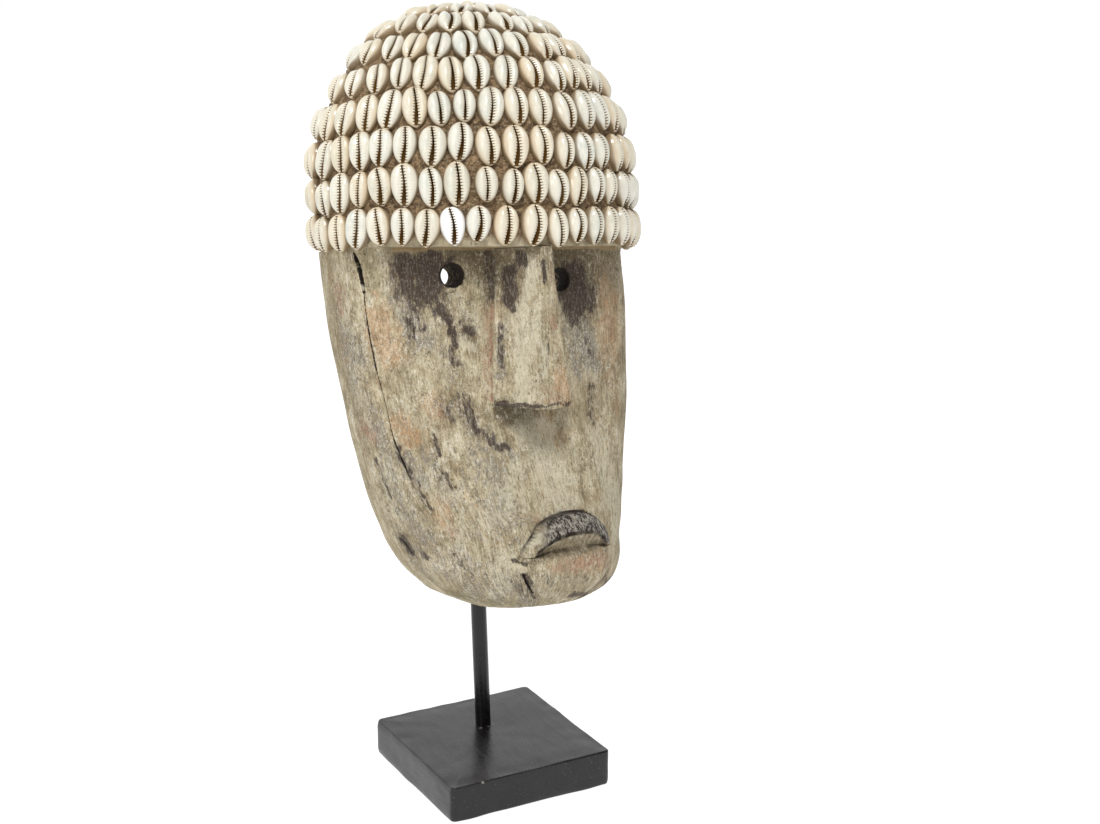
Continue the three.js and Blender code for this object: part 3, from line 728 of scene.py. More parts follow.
MOUTH_STAINS = {
    "dark": [(-26.5, 24, -22, 22, 1, 0.9), (-21.5, 16.5, -16.5, 7.5, 0.8, 0.8),
        (-17.5, 7.5, -11.5, 2.5, 0.6, 0.8), (5.5, 2.5, 22, 1, 2, 0.7), (19, 3.5, 33, 9, 2.5, 0.4),
        (-13, 15.5, -9, 10, 2, 0.4), (10.5, 13, 13.5, 10.5, 1, 0.5), (22.5, 25.5, 27, 25.5, 0.8, 0.5)],
    "grey": [(0, 43, 28, 38, 5.5, 0.2)],
    "ochre": [(6, 20, 24, 16, 4.5, 0.9), (20, 24, 28, 20, 3, 0.7), (-13.5, 20.5, -5.5, 16.5, 2.5, 0.4)],
    "rose": [(-6, 19, 20, 21, 4.5, 0.6), (23, 19, 38, 14, 3, 0.45), (4, 48.5, 16.5, 48, 2.5, 0.4),
        (-15, 45, -7, 43, 3, 0.35)],
    "chalk": [(-12, 14, 4, 10, 5, 0.35), (-20.5, 31, -14.5, 36, 2, 0.75), (-19, 24, -12, 7.5, 2.5, 0.35),
        (-8, 4, 6, 0, 3, 0.4)],
    "moss": [(-4.5, 9.5, 5.5, 4.5, 2.5, 0.3)],
}


def stained(strokes, u, z, seed, spread=1.0, fray=1.0):
    """Strength of a set of strokes at points, their edges broken by a slow noise."""
    total = np.zeros(len(u))
    probe = np.stack([u, z, np.zeros_like(u)], -1)
    wander = 0.22 * lumps(probe, (4, 7, 4), seed) + 0.18 * lumps(probe, (1.8, 3, 2), seed + 1)
    if fray:
        u = u + fray * (1.3 * lumps(probe, (5, 9, 5), seed + 2) + 0.8 * lumps(probe, (2, 4, 2), seed + 3))
        z = z + fray * (3.0 * lumps(probe, (4, 9, 5), seed + 4) + 1.8 * lumps(probe, (1.5, 5, 2), seed + 5))
    for u0, z0, u1, z1, half, strength in strokes:
        half = half * spread
        near = ((np.abs(u - (u0 + u1) / 2) < abs(u1 - u0) / 2 + half * 2)
                & (np.abs(z - (z0 + z1) / 2) < abs(z1 - z0) / 2 + half * 2))
        along = np.array([u1 - u0, z1 - z0]) + 1e-6
        t = np.clip(((u[near] - u0) * along[0] + (z[near] - z0) * along[1]) / (along @ along), 0, 1)
        away = np.hypot(u[near] - u0 - t * along[0], z[near] - z0 - t * along[1]) / half
        total[near] = np.maximum(total[near], strength * ramp(1.7, 0.2, away + wander[near]))
    return total


def lip_marks(p, mouth):
    """Shares of the dark band of the upper lip, of the fine lines of the lips with a painted shadow line
    along the gap, and of painted shade under the upper lip and below the gap.
    """
    x, y, z = p.T
    across = mouth_rise(x, z)[1]
    gap, outer = line_at(GAP_LINE, x), line_at(UPPER_OUTER, x)
    open_lip = ramp(-25, -23, x) * ramp(32, 30, x) * mouth
    band = ramp(-0.02, 0.05, across) * ramp(1.06, 0.98, across) * open_lip
    band *= ramp(-18, -11, x + 1.5 * lumps(p, 2.5, 111) - 0.25 * (z - 30))
    steep = np.hypot(1, line_at(UPPER_OUTER, x + 0.6) - line_at(UPPER_OUTER, x - 0.6))
    outer_line = ramp(0.85, 0.35, np.abs(z - outer + 0.2) / steep) * open_lip
    outer_line *= np.maximum(ramp(-14, -6, x), ramp(2.4, 1.0, face_depth(x, z) - y))
    inner_line = ramp(1.5, 0.6, np.abs(z - line_at(UPPER_INNER, x) - 0.3)) * open_lip
    inner_line *= ramp(-19, -17, x) * ramp(27, 24, x)
    # dark line along the gap between the lips: a painted shadow line
    gap_painted_shadow = ramp(1.5, 0.3, np.abs(z - gap)) * open_lip * ramp(-19, -16, x) * ramp(28, 24, x)
    line = strongest(outer_line * (0.95 + 0.6 * lumps(p, 5, 112)),
                     inner_line * (0.85 + 0.4 * lumps(p, 2.2, 113)),
                     gap_painted_shadow * (0.55 + 0.35 * lumps(p, 3, 114)))
    below = gap - z + 1.5 * lumps(p, 3, 115)
    # painted shade in the hollow under the upper lip, and on the lower lip just below the gap where the upper
    # lip overhangs it
    shade = strongest(0.45 * open_lip * ramp(0.3, -0.1, across) * ramp(-1.0, 1.0, z - gap),
                      0.75 * open_lip * ramp(-0.5, 0.5, below) * ramp(5.5, 1.0, below) * ramp(27, 12, x))
    return band, line, shade


def inside_share(p):
    """Where the plain hollow shows, behind the face and under the dome."""
    x, y, z = p.T
    in_face = ramp(7, 12, y - face_depth(x, z)) * (np.abs(x) < face_outline(z)[0] - 6)
    dome = np.maximum(1e-3, cap_share(np.maximum(z, CAP_SPRING), CAP_TOP - WOOD_DROP))
    reach = np.hypot(x / ((CAP_WIDE - WOOD_DROP) * dome),
                     (y - cap_centre(z)) / ((CAP_DEEP - WOOD_DROP) * dome))
    return np.where(z > LEDGE_FRONT, (reach < 0.93) & (z < 312), in_face)


def hole_shade_share(p, around, off_nose):
    """Where near-black painted shade lies: on the walls of the eyes and down in the cracks."""
    x, y, z = p.T
    behind = y - face_depth(x, z)
    away = np.minimum(*(np.hypot(x - eye_x, z - eye_z) for eye_x, eye_z in EYES))
    eyes = ramp(EYE_RADIUS + 1.6, EYE_RADIUS + 0.3, away) * ramp(26, 20, behind)
    eyes *= 1 - 0.45 * ramp(1.5, 5, behind)
    # the cracks painted dark as the shade down in them
    cuts = [(u0, z0, u1, z1, 0.12 + width / 4 * (share0 + share1), 0.85 if depth > 1.1 else 0.45)
            for depth, width, path in CRACKS for (u0, z0, share0), (u1, z1, share1) in zip(path, path[1:])]
    return np.maximum(eyes, stained(cuts, around, z, 71, 1.0, 0) * off_nose)


def dirt_and_shade_share(p, around, nose, proud, front):
    """Where a thin brown coat lies: dirt round the dark stains, and painted shade on the brow under the
    ledge, a painted shadow under the nose and down the groove at the root of the nose, darker towards the
    left edge of the face, and on the right cheek partly painted shade.
    """
    x, z = p[:, 0], p[:, 2]
    off_nose, side = (1 - nose) * front, np.abs(around)
    # painted shadow cast by the nose on the face just below it
    nose_cast_shadow = ramp(88, 97, z + 2 * lumps(p, 4, 78)) * ramp(105, 102, z)
    nose_cast_shadow *= ramp(-27, -21, x) * ramp(10, -2, x)
    return strongest(
        0.85 * stained(FACE_STAINS["dark"], around, z, 72, 2.3) * off_nose,
        0.85 * stained(NOSE_STAINS["dark"], x, z, 73, 2.0) * nose,
        # these three: painted shade on the brow under the overhang of the ledge
        0.75 * ramp(172, 187, z + 5 * lumps(p, 9, 74)) * ramp(78, 60, side) * front,
        0.6 * ramp(158, 180, z + 5 * lumps(p, 7, 77)) * ramp(90, 72, side) * front,
        ramp(160, 184, z + 4 * lumps(p, 6, 75)) * ramp(60, 42, side + 4 * lumps(p, 8, 76)) * off_nose,
        # painted shadow under the nose
        0.95 * nose_cast_shadow * (1 - proud) * front,
        # painted shadow down the groove at the left root of the nose
        0.95 * ramp(9, 2, np.abs(x + 20) + 2 * lumps(p, 4, 79)) * ramp(156, 172, z) * front,
        # darker towards the left edge of the face
        0.34 * ramp(-84, -104, around) * front,
        # darker right cheek, partly painted shade beside the nose
        0.36 * ramp(36, 54, around) * ramp(84, 112, z) * front)


def mark_head(mesh):
    """Gives every point of the head its place along the grain, its share of each stain, and its share of the
    painted shade.
    """
    p = to_head(points_of(mesh))
    x, y, z = p.T
    even, around = round_place(p)
    behind = y - face_depth(x, z)
    proud = ramp(-1.2, -2.6, behind) * (z < LEDGE_FRONT - 0.2)
    front = ramp(10, 6, behind)
    nose, mouth = proud * (z > 95), (np.abs(x - 3) < 38) * (z < 49.5) * ramp(3.0, 1.0, behind)
    stains = []
    for number, kind in enumerate(("dark", "grey", "ochre", "rose", "chalk", "moss")):
        spread = 1.25 if kind in ("dark", "grey") else 1.1
        stains.append(strongest(
            stained(FACE_STAINS[kind], around, z, 80 + 9 * number, spread) * (1 - nose) * front,
            stained(NOSE_STAINS[kind], x, z, 140 + 9 * number, 1.1, 0.4) * nose,
            stained(MOUTH_STAINS[kind], x, z, 200 + 9 * number, 1.1, 0.4) * mouth))
    band, line, shade = lip_marks(p, mouth)
    hole_shade = hole_shade_share(p, around, (1 - nose) * front)
    inside = inside_share(p)
    bed = bed_amount(p) * (1 - inside) * (y < BACK_PLANE - 0.2)
    ledge = ramp(-1.2, 0.4, z - ledge_height(x)) * ramp(9, 4, z - ledge_height(x)) * (1 - inside)
    back_rim = 0.6 * ramp(BACK_PLANE - 0.4, BACK_PLANE - 0.1, y)
    # lips holds the dark lip band, the lip lines with the painted gap shadow, and the painted shade of the
    # eyes and cracks
    for name, shares in (("stain_a", stains[:3]), ("stain_b", stains[3:]), ("lips", (band, line, hole_shade)),
                         ("places", (bed, ledge, np.maximum(inside, back_rim))),
                         ("grain", (np.where(nose > 0.5, 1.5 * x, even), z, 0.35 * y))):
        store(mesh, name, np.stack(shares, -1))
    # thin brown coat: dirt round the stains, and painted shade and shadow under the ledge, under the nose and
    # round the lips
    veil = np.clip(np.maximum(dirt_and_shade_share(p, around, nose, proud, front), shade), 0, 1)
    store(mesh, "veil", veil * (z < LEDGE_FRONT + 0.2), "FLOAT")


# Cowries

ROWS = [  # height, pitch, arc length of the first shell, spread at the rim, shell length
    (197.9, 14.37, 152.2, 2.5, 20.2), (218.8, 14.3, 148.7, 2.5, 20.0), (239.2, 14.82, 148.9, 2.5, 19.8),
    (260.3, 14.49, 140.9, 2.5, 19.4), (280.2, 14.54, 115.1, 2.5, 19.2), (297.4, 14.36, 114.7, 0, 18.9),
    (311.8, 14.47, 87, 0, 18.6), (321.2, 14.4, 57.6, 0, 17.6), (325.7, 17.0, 17.0, 0, 17.0)]

# How single shells sit off their even places: shell number, across mm, up mm, length mm
SET_BY_HAND = {
    1: [(0, 2.1, 2.1, 20), (2, .5, .1, 20.5), (3, .7, 1, 21.9), (4, .5, 1.7, 20.7), (5, .5, .6, 20.1),
        (6, 0, -.9, 20.5), (7, -.9, -.4, 20.5), (8, -1.4, .7, 19.5), (9, -.6, -.4, 21.1),
        (10, 1.1, -.6, 22.3), (11, 1, -1.9, 20.9), (12, 0, -.8, 19.2), (13, -.7, -.3, 20.7),
        (14, -.4, .4, 20.4)],
    2: [(1, 1, -2.2, 20.2), (2, .5, -.5, 22.6), (3, .8, .4, 19.3), (4, -.3, 1.3, 20.7), (5, -.5, 1.2, 23.2),
        (6, 0, -.9, 21.5), (7, -.3, .6, 23.6), (8, 1.4, .2, 18.8), (9, 1.4, -1.3, 19.1), (10, .6, .3, 22.3),
        (11, -.5, -2.2, 20.4), (12, -1.4, -.8, 21.6), (13, -.9, -.1, 20.2), (14, -2.1, 0, 19.3)],
    3: [(0, -.7, .1, 20.7), (1, 2.5, -1.4, 22.3), (2, 2.4, .3, 21), (3, 1.7, .6, 21.8), (4, 0, 1.4, 21),
        (5, -1.1, 2, 20.8), (6, -.7, .4, 22.2), (7, -.4, 2.4, 21.1), (8, -.5, 0, 21), (9, .2, -.6, 23.5),
        (10, .9, .3, 21.8), (11, .3, -2.2, 20.2), (12, -.2, -1.9, 21), (13, -1.3, -1.1, 20.2),
        (14, 1.6, -.7, 21.1)],
    4: [(1, .5, -2, 22.3), (2, 1.2, -1.7, 22), (3, 1.8, 0, 22.2), (4, 1.5, .9, 23.4), (5, 1, 1.5, 23.5),
        (6, -.1, -.1, 19.8), (7, -.5, .8, 19.1), (8, -1, .3, 22.8), (9, -1.3, .6, 22.3), (10, -1.3, .2, 21.8),
        (11, .9, -1, 22.5), (12, 1.6, .8, 23), (13, 2.4, 1.3, 22.8), (14, 2.6, .8, 22.2)],
    5: [(0, -1.1, -1.9, 19.2), (1, .4, -1.4, 19.2), (2, 1.2, -.5, 19.5), (3, .9, 1.5, 20), (4, .4, .7, 22.5),
        (5, -.5, -.9, 22.2), (6, -.8, -.4, 22.5), (7, 1, 0, 22.1), (8, 1.7, .2, 20.3), (9, 2.4, -1.1, 20.4),
        (10, .3, 2.2, 22), (11, -2.2, 2, 21.6), (12, -1.7, 1.4, 19.8)],
    6: [(1, -1, -.5, 19), (2, -.9, 0, 19), (3, .9, .1, 19.4), (4, .6, -.6, 20.9), (5, -.5, -1.3, 22),
        (6, -.5, -.9, 22.1), (7, -.2, .6, 22.2), (8, -.4, -1, 22.2), (9, 2, -.4, 20.2), (10, -1.3, .7, 20.7)],
    7: [(1, 0, 0, 18.6), (2, 1.5, 1.8, 18.6), (3, 1.4, .1, 19), (4, -.5, .1, 21.5), (5, -1.8, -.2, 21.2),
        (6, .2, -.3, 20.4), (7, -1.7, -2.2, 19)],
}
WHITE_SHELL = (1, 7)

# Kinds of cowrie: bend and place of the slit, gape at foot and head in mm, breadth, egg, point of the foot
COWRIES = [(0.17, 0.09, 2.3, 0.9, 1.00, 0.12, 0.24), (0.12, 0.12, 2.0, 0.8, 0.98, 0.08, 0.14),
           (0.22, 0.05, 2.6, 1.0, 1.04, 0.16, 0.30), (0.09, 0.04, 1.4, 0.6, 0.97, 0.06, 0.10),
           (0.16, 0.00, 2.2, 0.8, 1.03, 0.18, 0.32), (0.21, 0.12, 1.8, 1.0, 0.98, 0.10, 0.18),
           (0.12, -0.02, 1.1, 0.5, 1.00, 0.08, 0.14)]
COWRIE_LONG, COWRIE_WIDE, COWRIE_HIGH, RIM_HIGH = 20.0, 13.2, 8.7, 2.4
TOOTH_PITCH, WIDE_FOR_LENGTH, WIDEST, SHELL_CLEAR = 1.35, 0.66, 14.8, 3.5


def cowrie(number, bend, place, gape_foot, gape_head, breadth, egg, point):
    """One cowrie in metres: x across, y from foot to head, z out, its slit on top.

    Its points carry how far they are from the slit and along it, and their share of the way to the rim.
    """
    around = 52
    turns = np.arange(around) * 2 * math.pi / around
    # points gather at the tips, where the outline turns fastest
    turns = turns + 0.12 * np.sin(2 * turns)
    v, side = np.cos(turns), np.sin(turns)
    half_long, half_wide = COWRIE_LONG / 2, COWRIE_WIDE / 2 * breadth
    taper = 0.95 + point * np.clip(-v, 0, 1) + 0.14 * np.clip(v, 0, 1)
    wide = half_wide * np.abs(side) ** taper * (1 + egg * v - 0.10 * egg * v * v)
    rim = np.stack([np.sign(side) * wide, half_long * v], -1)
    gape = gape_head + (gape_foot - gape_head) * ramp(0.35, -0.8, v)
    gape = gape * np.minimum(1, np.abs(side) * 2.0)
    middle = half_wide * (place + bend * (np.cos(1.75 * (v - 0.12)) - 0.45) - 0.05 * v)
    middle = middle * np.minimum(1, np.abs(side) * 1.3 + 0.45)
    slit_y = half_long * 0.94 * v
    slit = np.stack([middle + np.sign(side) * (gape / 2), slit_y], -1)
    span = np.linalg.norm(rim - slit, axis=1)

    def height(spot, away):
        y = np.clip(spot[:, 1] / half_long, -1, 1)
        edge = np.maximum(half_wide * np.maximum(0.0005, 1 - y * y) ** 0.5 * (1 + egg * y), 0.05)
        share = np.clip(np.abs(spot[:, 0]) / edge, 0, 1)
        dome = np.maximum(0, 1 - share ** 2.7) ** 0.5 * np.maximum(0, 1 - np.abs(y) ** 2.8) ** 0.5
        valley = 1.9 * np.exp(-(away / 1.7) ** 2) * np.maximum(0, 1 - np.abs(y) ** 5)
        swell = 0.35 * (spot[:, 0] < middle) * np.sin(math.pi * np.clip(away / 6, 0, 1)) * (1 - y * y)
        return RIM_HIGH + (COWRIE_HIGH - RIM_HIGH) * dome - valley + swell

    rings, marks = [], []
    for share, sink in ((0.05, 3.2), (0.55, 2.8), (0.92, 1.3)):
        spot = np.stack([middle + (slit[:, 0] - middle) * share, slit_y * (0.96 + 0.04 * share)], -1)
        low = sink * np.minimum(1, np.abs(side) * 1.5)
        rings.append(np.column_stack([spot, height(slit, np.zeros(around)) - low]))
        marks.append(np.column_stack([np.full(around, -2.0 + 1.4 * share), slit_y, np.zeros(around)]))
    for share in (0.0, 0.05, 0.12, 0.22, 0.34, 0.48, 0.62, 0.75, 0.86, 0.94, 1.0):
        spot = slit + (rim - slit) * share
        up = height(spot, span * share) - (0.25 if share == 0 else 0)
        rings.append(np.column_stack([spot, up]))
        marks.append(np.column_stack([span * share, spot[:, 1], share * np.sign(side)]))
    for shrink, low in ((0.985, 1.3), (0.9, 0.2), (0.72, -0.5), (0.35, -0.7)):
        rings.append(np.column_stack([rim * shrink, np.full(around, low)]))
        marks.append(np.column_stack([span, rim[:, 1] * shrink, np.sign(side)]))
    points = np.concatenate(rings + [np.array([[middle.mean(), 0, 1.5], [0, 0, -0.7]])])
    thing = closed_body("cowrie_kind_%d" % number, points * MM, tube_faces(len(rings), around))
    store(thing.data, "lip", np.concatenate(marks + [np.array([[-2.0, 0, 0], [6.0, 0, 0]])]))
    return thing


def row_places(number):
    """Place in the head's frame, turn, stretch, kind and tone of each shell of a row."""
    height, pitch, first, rim, length = ROWS[number - 1]
    share = float(cap_share(height, CAP_TOP))
    turns = np.linspace(0, math.pi, 721)
    curve = np.stack([CAP_WIDE * share * np.sin(turns), -CAP_DEEP * share * np.cos(turns)], -1)
    arc = np.concatenate([[0], np.cumsum(np.linalg.norm(np.diff(curve, axis=0), axis=1))])
    up = max(0, (height - CAP_SPRING) / (CAP_TOP - CAP_SPRING))
    random = np.random.default_rng(400 + number)
    by_hand = {shell: offsets for shell, *offsets in SET_BY_HAND.get(number, [])}
    places = []
    for shell in range(math.ceil((first + arc[-1]) / pitch - 0.5)):
        loose = random.uniform(-1, 1, 8)
        by_chance = (0.7 * loose[0], 0.7 * loose[1], length + 1.2 * loose[2] + 0.5)
        across_by, up_by, long = by_hand.get(shell, by_chance)
        kind = int(random.integers(0, len(COWRIES)))
        tone = random.uniform(0, 1, 3)
        at = first - pitch * shell + rim * 0.4 ** shell - across_by
        turn = -math.copysign(np.interp(abs(at), arc, turns), at)
        x, y = CAP_WIDE * share * math.sin(turn), -CAP_DEEP * share * math.cos(turn)
        depth = cap_centre(height) + y
        if depth > BACK_PLANE - SHELL_CLEAR:
            continue
        out = np.array([x / CAP_WIDE ** 2 * share ** (CAP_POWER - 2),
                        y / CAP_DEEP ** 2 * share ** (CAP_POWER - 2),
                        up ** (CAP_POWER - 1) / (CAP_TOP - CAP_SPRING)])
        out /= np.linalg.norm(out)
        across = np.cross((0, 0, 1), out)
        across /= np.linalg.norm(across)
        along = np.cross(out, across)
        place = np.array([x, depth, height]) - out * SHELL_RISE + along * up_by
        spin = Matrix(np.column_stack([across, along, out]).tolist()).to_4x4()
        for degrees, axis in ((7 * loose[3], "Z"), (4 * loose[4], "X"), (4 * loose[5], "Y")):
            spin = spin @ Matrix.Rotation(math.radians(degrees), 4, axis)
        wide = min(WIDE_FOR_LENGTH * long * (1 + 0.05 * loose[6]), WIDEST)
        stretch = (wide / COWRIE_WIDE, long / COWRIE_LONG, 1 + 0.04 * loose[7])
        tone[2] = 0.0
        if (number, shell) == WHITE_SHELL:
            tone, kind = (0.0, 0.0, 1.0), 4
        places.append((place, tuple((HEAD_TURN @ spin).to_euler("XYZ")), stretch, kind, tone))
    return places


def shell_setting(coat):
    """Node tree that sets the shells of a row on its points, each turned and stretched as its point says."""
    tree = bpy.data.node_groups.new("shell_setting", "GeometryNodeTree")
    for name, kind in (("Points", "NodeSocketGeometry"), ("Kinds", "NodeSocketCollection"),
                       ("Size", "NodeSocketFloat")):
        tree.interface.new_socket(name, in_out="INPUT", socket_type=kind)
    tree.interface.new_socket("Shells", in_out="OUTPUT", socket_type="NodeSocketGeometry")
    given = tree.nodes.new("NodeGroupInput").outputs
    read = (("kind", "INT"), ("turn", "FLOAT_VECTOR"), ("stretch", "FLOAT_VECTOR"))
    kind, turn, stretch = (add(tree, "GeometryNodeInputNamedAttribute", {"Name": name}, data_type=data)
                           for name, data in read)
    chosen = add(tree, "GeometryNodeCollectionInfo",
                 {"Collection": given["Kinds"], "Separate Children": True, "Reset Children": True})
    scale = add(tree, "ShaderNodeVectorMath", {0: stretch, "Scale": given["Size"]}, operation="SCALE")
    turned = add(tree, "FunctionNodeEulerToRotation", [turn])
    set_in = add(tree, "GeometryNodeInstanceOnPoints", {
        "Points": given["Points"], "Instance": chosen, "Pick Instance": True, "Instance Index": kind,
        "Rotation": turned, "Scale": scale})
    made = add(tree, "GeometryNodeRealizeInstances", [set_in])
    coated = add(tree, "GeometryNodeSetMaterial", {"Geometry": made, "Material": coat})
    tree.links.new(coated, tree.nodes.new("NodeGroupOutput").inputs["Shells"])
    return tree


def set_row(number, tree, kinds):
    """Sets one row of shells and turns it into a plain mesh."""
    places, turns, stretches, kind_numbers, tones = zip(*row_places(number))
    seats = make_mesh("row_seats", to_world(places), [])
    for name, values in (("turn", turns), ("stretch", stretches), ("tone", tones)):
        store(seats, name, values)
    store(seats, "kind", kind_numbers, "INT")
    row = put(seats)
    setting = row.modifiers.new("shell_setting", "NODES")
    setting.node_group = tree
    sockets = {socket.name: socket.identifier for socket in tree.interface.items_tree
               if socket.in_out == "INPUT"}
    setting[sockets["Kinds"]] = kinds
    setting[sockets["Size"]] = 1.0
    made = bpy.data.meshes.new_from_object(row.evaluated_get(bpy.context.evaluated_depsgraph_get()))
    made.name = "cowrie_row_%d" % number
    row.modifiers.remove(setting)
    drop(row)
    return put(made)


# Stand

def millimetres(points):
    """Metres from the stand's points, which are in the world's millimetres."""
    return np.asarray(points, float) * MM


def block_outline(inset):
    """Outline of the square block, its corners rounded, set in by some millimetres."""
    half, corner = BASE_SIDE / 2 - inset, max(0.2, BASE_CORNER - inset)
    straight = half - corner
    side = [(straight + corner * math.cos(t), straight + corner * math.sin(t))
            for t in np.linspace(0, math.pi / 2, 9)]
    side += [(straight - 2 * straight * t, half) for t in np.linspace(0, 1, 32)[1:-1]]
    points = []
    for quarter in range(4):
        cos, sin = math.cos(quarter * math.pi / 2), math.sin(quarter * math.pi / 2)
        points += [(x * cos - y * sin, x * sin + y * cos) for x, y in side]
    return np.array(points)


def build_base():
    """The block as levels of (share, inset, height), its faces a little wavy and its upper edge worn."""
    levels = [(share, 0.9, 0) for share in (0.06, 0.3, 0.6, 0.85, 0.96)]
    levels += [(1, BASE_EDGE * (1 - math.sin(t)), BASE_EDGE * (1 - math.cos(t)))
               for t in np.linspace(0, math.pi / 2, 5)]
    levels += [(1, 0, z) for z in np.linspace(1.6, BASE_HIGH - 1.6, 12)]
    levels += [(1, BASE_EDGE * (1 - math.cos(t)), BASE_HIGH - BASE_EDGE * (1 - math.sin(t)))
               for t in np.linspace(0, math.pi / 2, 6)]
    levels += [(share, BASE_EDGE, BASE_HIGH)
               for share in (0.975, 0.93, 0.86, 0.78, 0.69, 0.6, 0.5, 0.4, 0.3, 0.2, 0.1, 0.03)]
    rings = np.array([[(x, y, z) for x, y in block_outline(inset) * share] for share, inset, z in levels])
    wave = 0.35 * lumps(rings, (26, 26, 14), 61) + 0.12 * lumps(rings, (7, 7, 6), 62) + 0.25
    edge = ramp(3.0, 0.5, BASE_HIGH - rings[..., 2]) * ramp(40, 47, np.abs(rings[..., :2]).max(-1))
    wave -= edge * (0.25 + 0.55 * np.clip(lumps(rings, (9, 9, 30), 64), -0.2, 1))
    foot = 0.3 * lumps(rings, (12, 12, 30), 65) * ramp(4.0, 0.0, rings[..., 2])
    wave = wave * ramp(0.0, 3.0, rings[..., 2]) + foot
    rings = rings + grid_normals(rings) * wave[..., None]
    return stack("stand_base_painted", rings, millimetres)


def build_rod():
    """Round steel rod from inside the block up into the chin, its paint a little uneven."""
    levels = [(t, ROD_RADIUS) for t in np.linspace(0, 1, 60)]
    rings = round_bar(ROD_FOOT - ROD_WAY * ROD_SUNK, ROD_FOOT + ROD_WAY * ROD_TOP, levels, 48)
    rings = rings + 0.03 * lumps(rings, (5, 5, 9), 63)[..., None] * np.array([1, 1, 0])
    return stack("stand_rod_painted", rings, millimetres)


# Finishes

def soaked(tree, share, place, size, stretch, low=0.42, high=0.62, fray=1.6, rough=0.62):
    """Mask of a stain from its share at each point, its edge frayed by noise of a size in mm."""
    cloud = cloud_of(tree, place, size, stretch, 4.0, rough)
    cloud = add(tree, "ShaderNodeMath", (cloud, 0.5), operation="SUBTRACT")
    torn = add(tree, "ShaderNodeMath", (cloud, fray, share), operation="MULTIPLY_ADD")
    return add(tree, "ShaderNodeMapRange", (torn, low, high), **SOFT_STEP)


def three_of(tree, name):
    """The three numbers of a stored attribute."""
    read = add(tree, "ShaderNodeAttribute", out=1, attribute_name=name)
    return add(tree, "ShaderNodeSeparateXYZ", [read]).node.outputs[:]


def cowrie_material():
    """Money cowrie, grown in glossy layers: ivory with a cool sheen and tan tips and rims, with brown painted
    shade down the slit and between its teeth and a darker painted shade round the foot of its rim.
    """
    material, tree, shader = blank_material("cowrie_shell_polished")
    away, run, rim = three_of(tree, "lip")
    sheen, age, white = three_of(tree, "tone")
    place = in_head(tree)
    # notches between the teeth, short on the left lip and longer on the right and painted dark as shade, a
    # fine line behind each
    wave = add(tree, "ShaderNodeMath", (run, 2 * math.pi / TOOTH_PITCH), operation="MULTIPLY")
    wave = add(tree, "ShaderNodeMath", [wave], operation="SINE")
    reach = add(tree, "ShaderNodeMapRange", (rim, -0.05, 0.05, 0.85, 1.45))
    near = add(tree, "ShaderNodeMath", (away, reach), operation="DIVIDE")
    tooth_notch_shade = add(tree, "ShaderNodeMapRange", (wave, 0.05, 0.6))
    short = add(tree, "ShaderNodeMapRange", (near, 0.35, 0.95, 1.0, 0.0))
    tooth_notch_shade = add(tree, "ShaderNodeMath", (tooth_notch_shade, short), operation="MULTIPLY")
    line = add(tree, "ShaderNodeMapRange", (wave, 0.55, 1.0))
    long = add(tree, "ShaderNodeMapRange", (near, 0.8, 3.6, 0.3, 0.0))
    line = add(tree, "ShaderNodeMath", (line, long), operation="MULTIPLY")
    to_rim, to_tip = (add(tree, "ShaderNodeMath", [way], operation="ABSOLUTE") for way in (rim, run))
    # painted shade down in the slit
    deep = add(tree, "ShaderNodeMapRange", (away, -0.5, 0.12, 1.0, 0.0), **SOFT_STEP)
    lip_glow = add(tree, "ShaderNodeMapRange", (away, 0.2, 1.6, 1.0, 0.0), **SOFT_STEP)
    edge = add(tree, "ShaderNodeMapRange", (to_rim, 0.6, 1.0), **SOFT_STEP)
    # painted shade round the foot of the rim, where the shell meets the paste
    rim_painted_shade = add(tree, "ShaderNodeMapRange", (to_rim, 0.86, 1.0), **SOFT_STEP)
    tip = add(tree, "ShaderNodeMapRange", (to_tip, 6.4, 9.8), **SOFT_STEP)
    cloud, fine = mottle(tree, place, 6, 0.38, 0.66), mottle(tree, place, 1.3, 0.5, 0.78)
    band = mottle(tree, place, 3.2, 0.42, 0.62, (2.2, 0.8, 2.2))
    colour = lay(tree, "#DBD9CD",
                 [(sheen, cloud, "#C3C9C1"), (age, 0.55, "#D2C09C"), (band, 0.3, "#E9E5D8"),
                  (edge, age, 0.7, "#C7AA82"), (tip, 0.5, "#D0B894"), (rim_painted_shade, 0.9, "#7F6A4C"),
                  (fine, 0.24, "#B3A78E"), (white, "#F6F6F4"), (lip_glow, 0.25, "#DCCAA8"), (line, "#B5A27F"),
                  (tooth_notch_shade, "#56401F"), (deep, "#644822")])
    gloss = add(tree, "ShaderNodeMapRange", (cloud, 0.0, 1.0, 0.12, 0.24))
    ribs = add(tree, "ShaderNodeMath", (tooth_notch_shade, line), operation="ADD")
    relief = add(tree, "ShaderNodeBump", {"Height": ribs, "Strength": 0.55, "Distance": 0.3 * MM},
                 invert=True)
    feed(tree, shader, {"Base Color": colour, "IOR": 1.53, "Roughness": gloss, "Normal": relief})
    return material


def graded(tree, value, stops):
    """Colour that runs through (value, colour) stops."""
    (last, ground), *others = stops
    for stop, colour in others:
        share = add(tree, "ShaderNodeMapRange", (value, last, stop))
        ground = add(tree, "ShaderNodeMix", {0: share, 6: ground, 7: colour}, out=2, data_type="RGBA")
        last = stop
    return ground


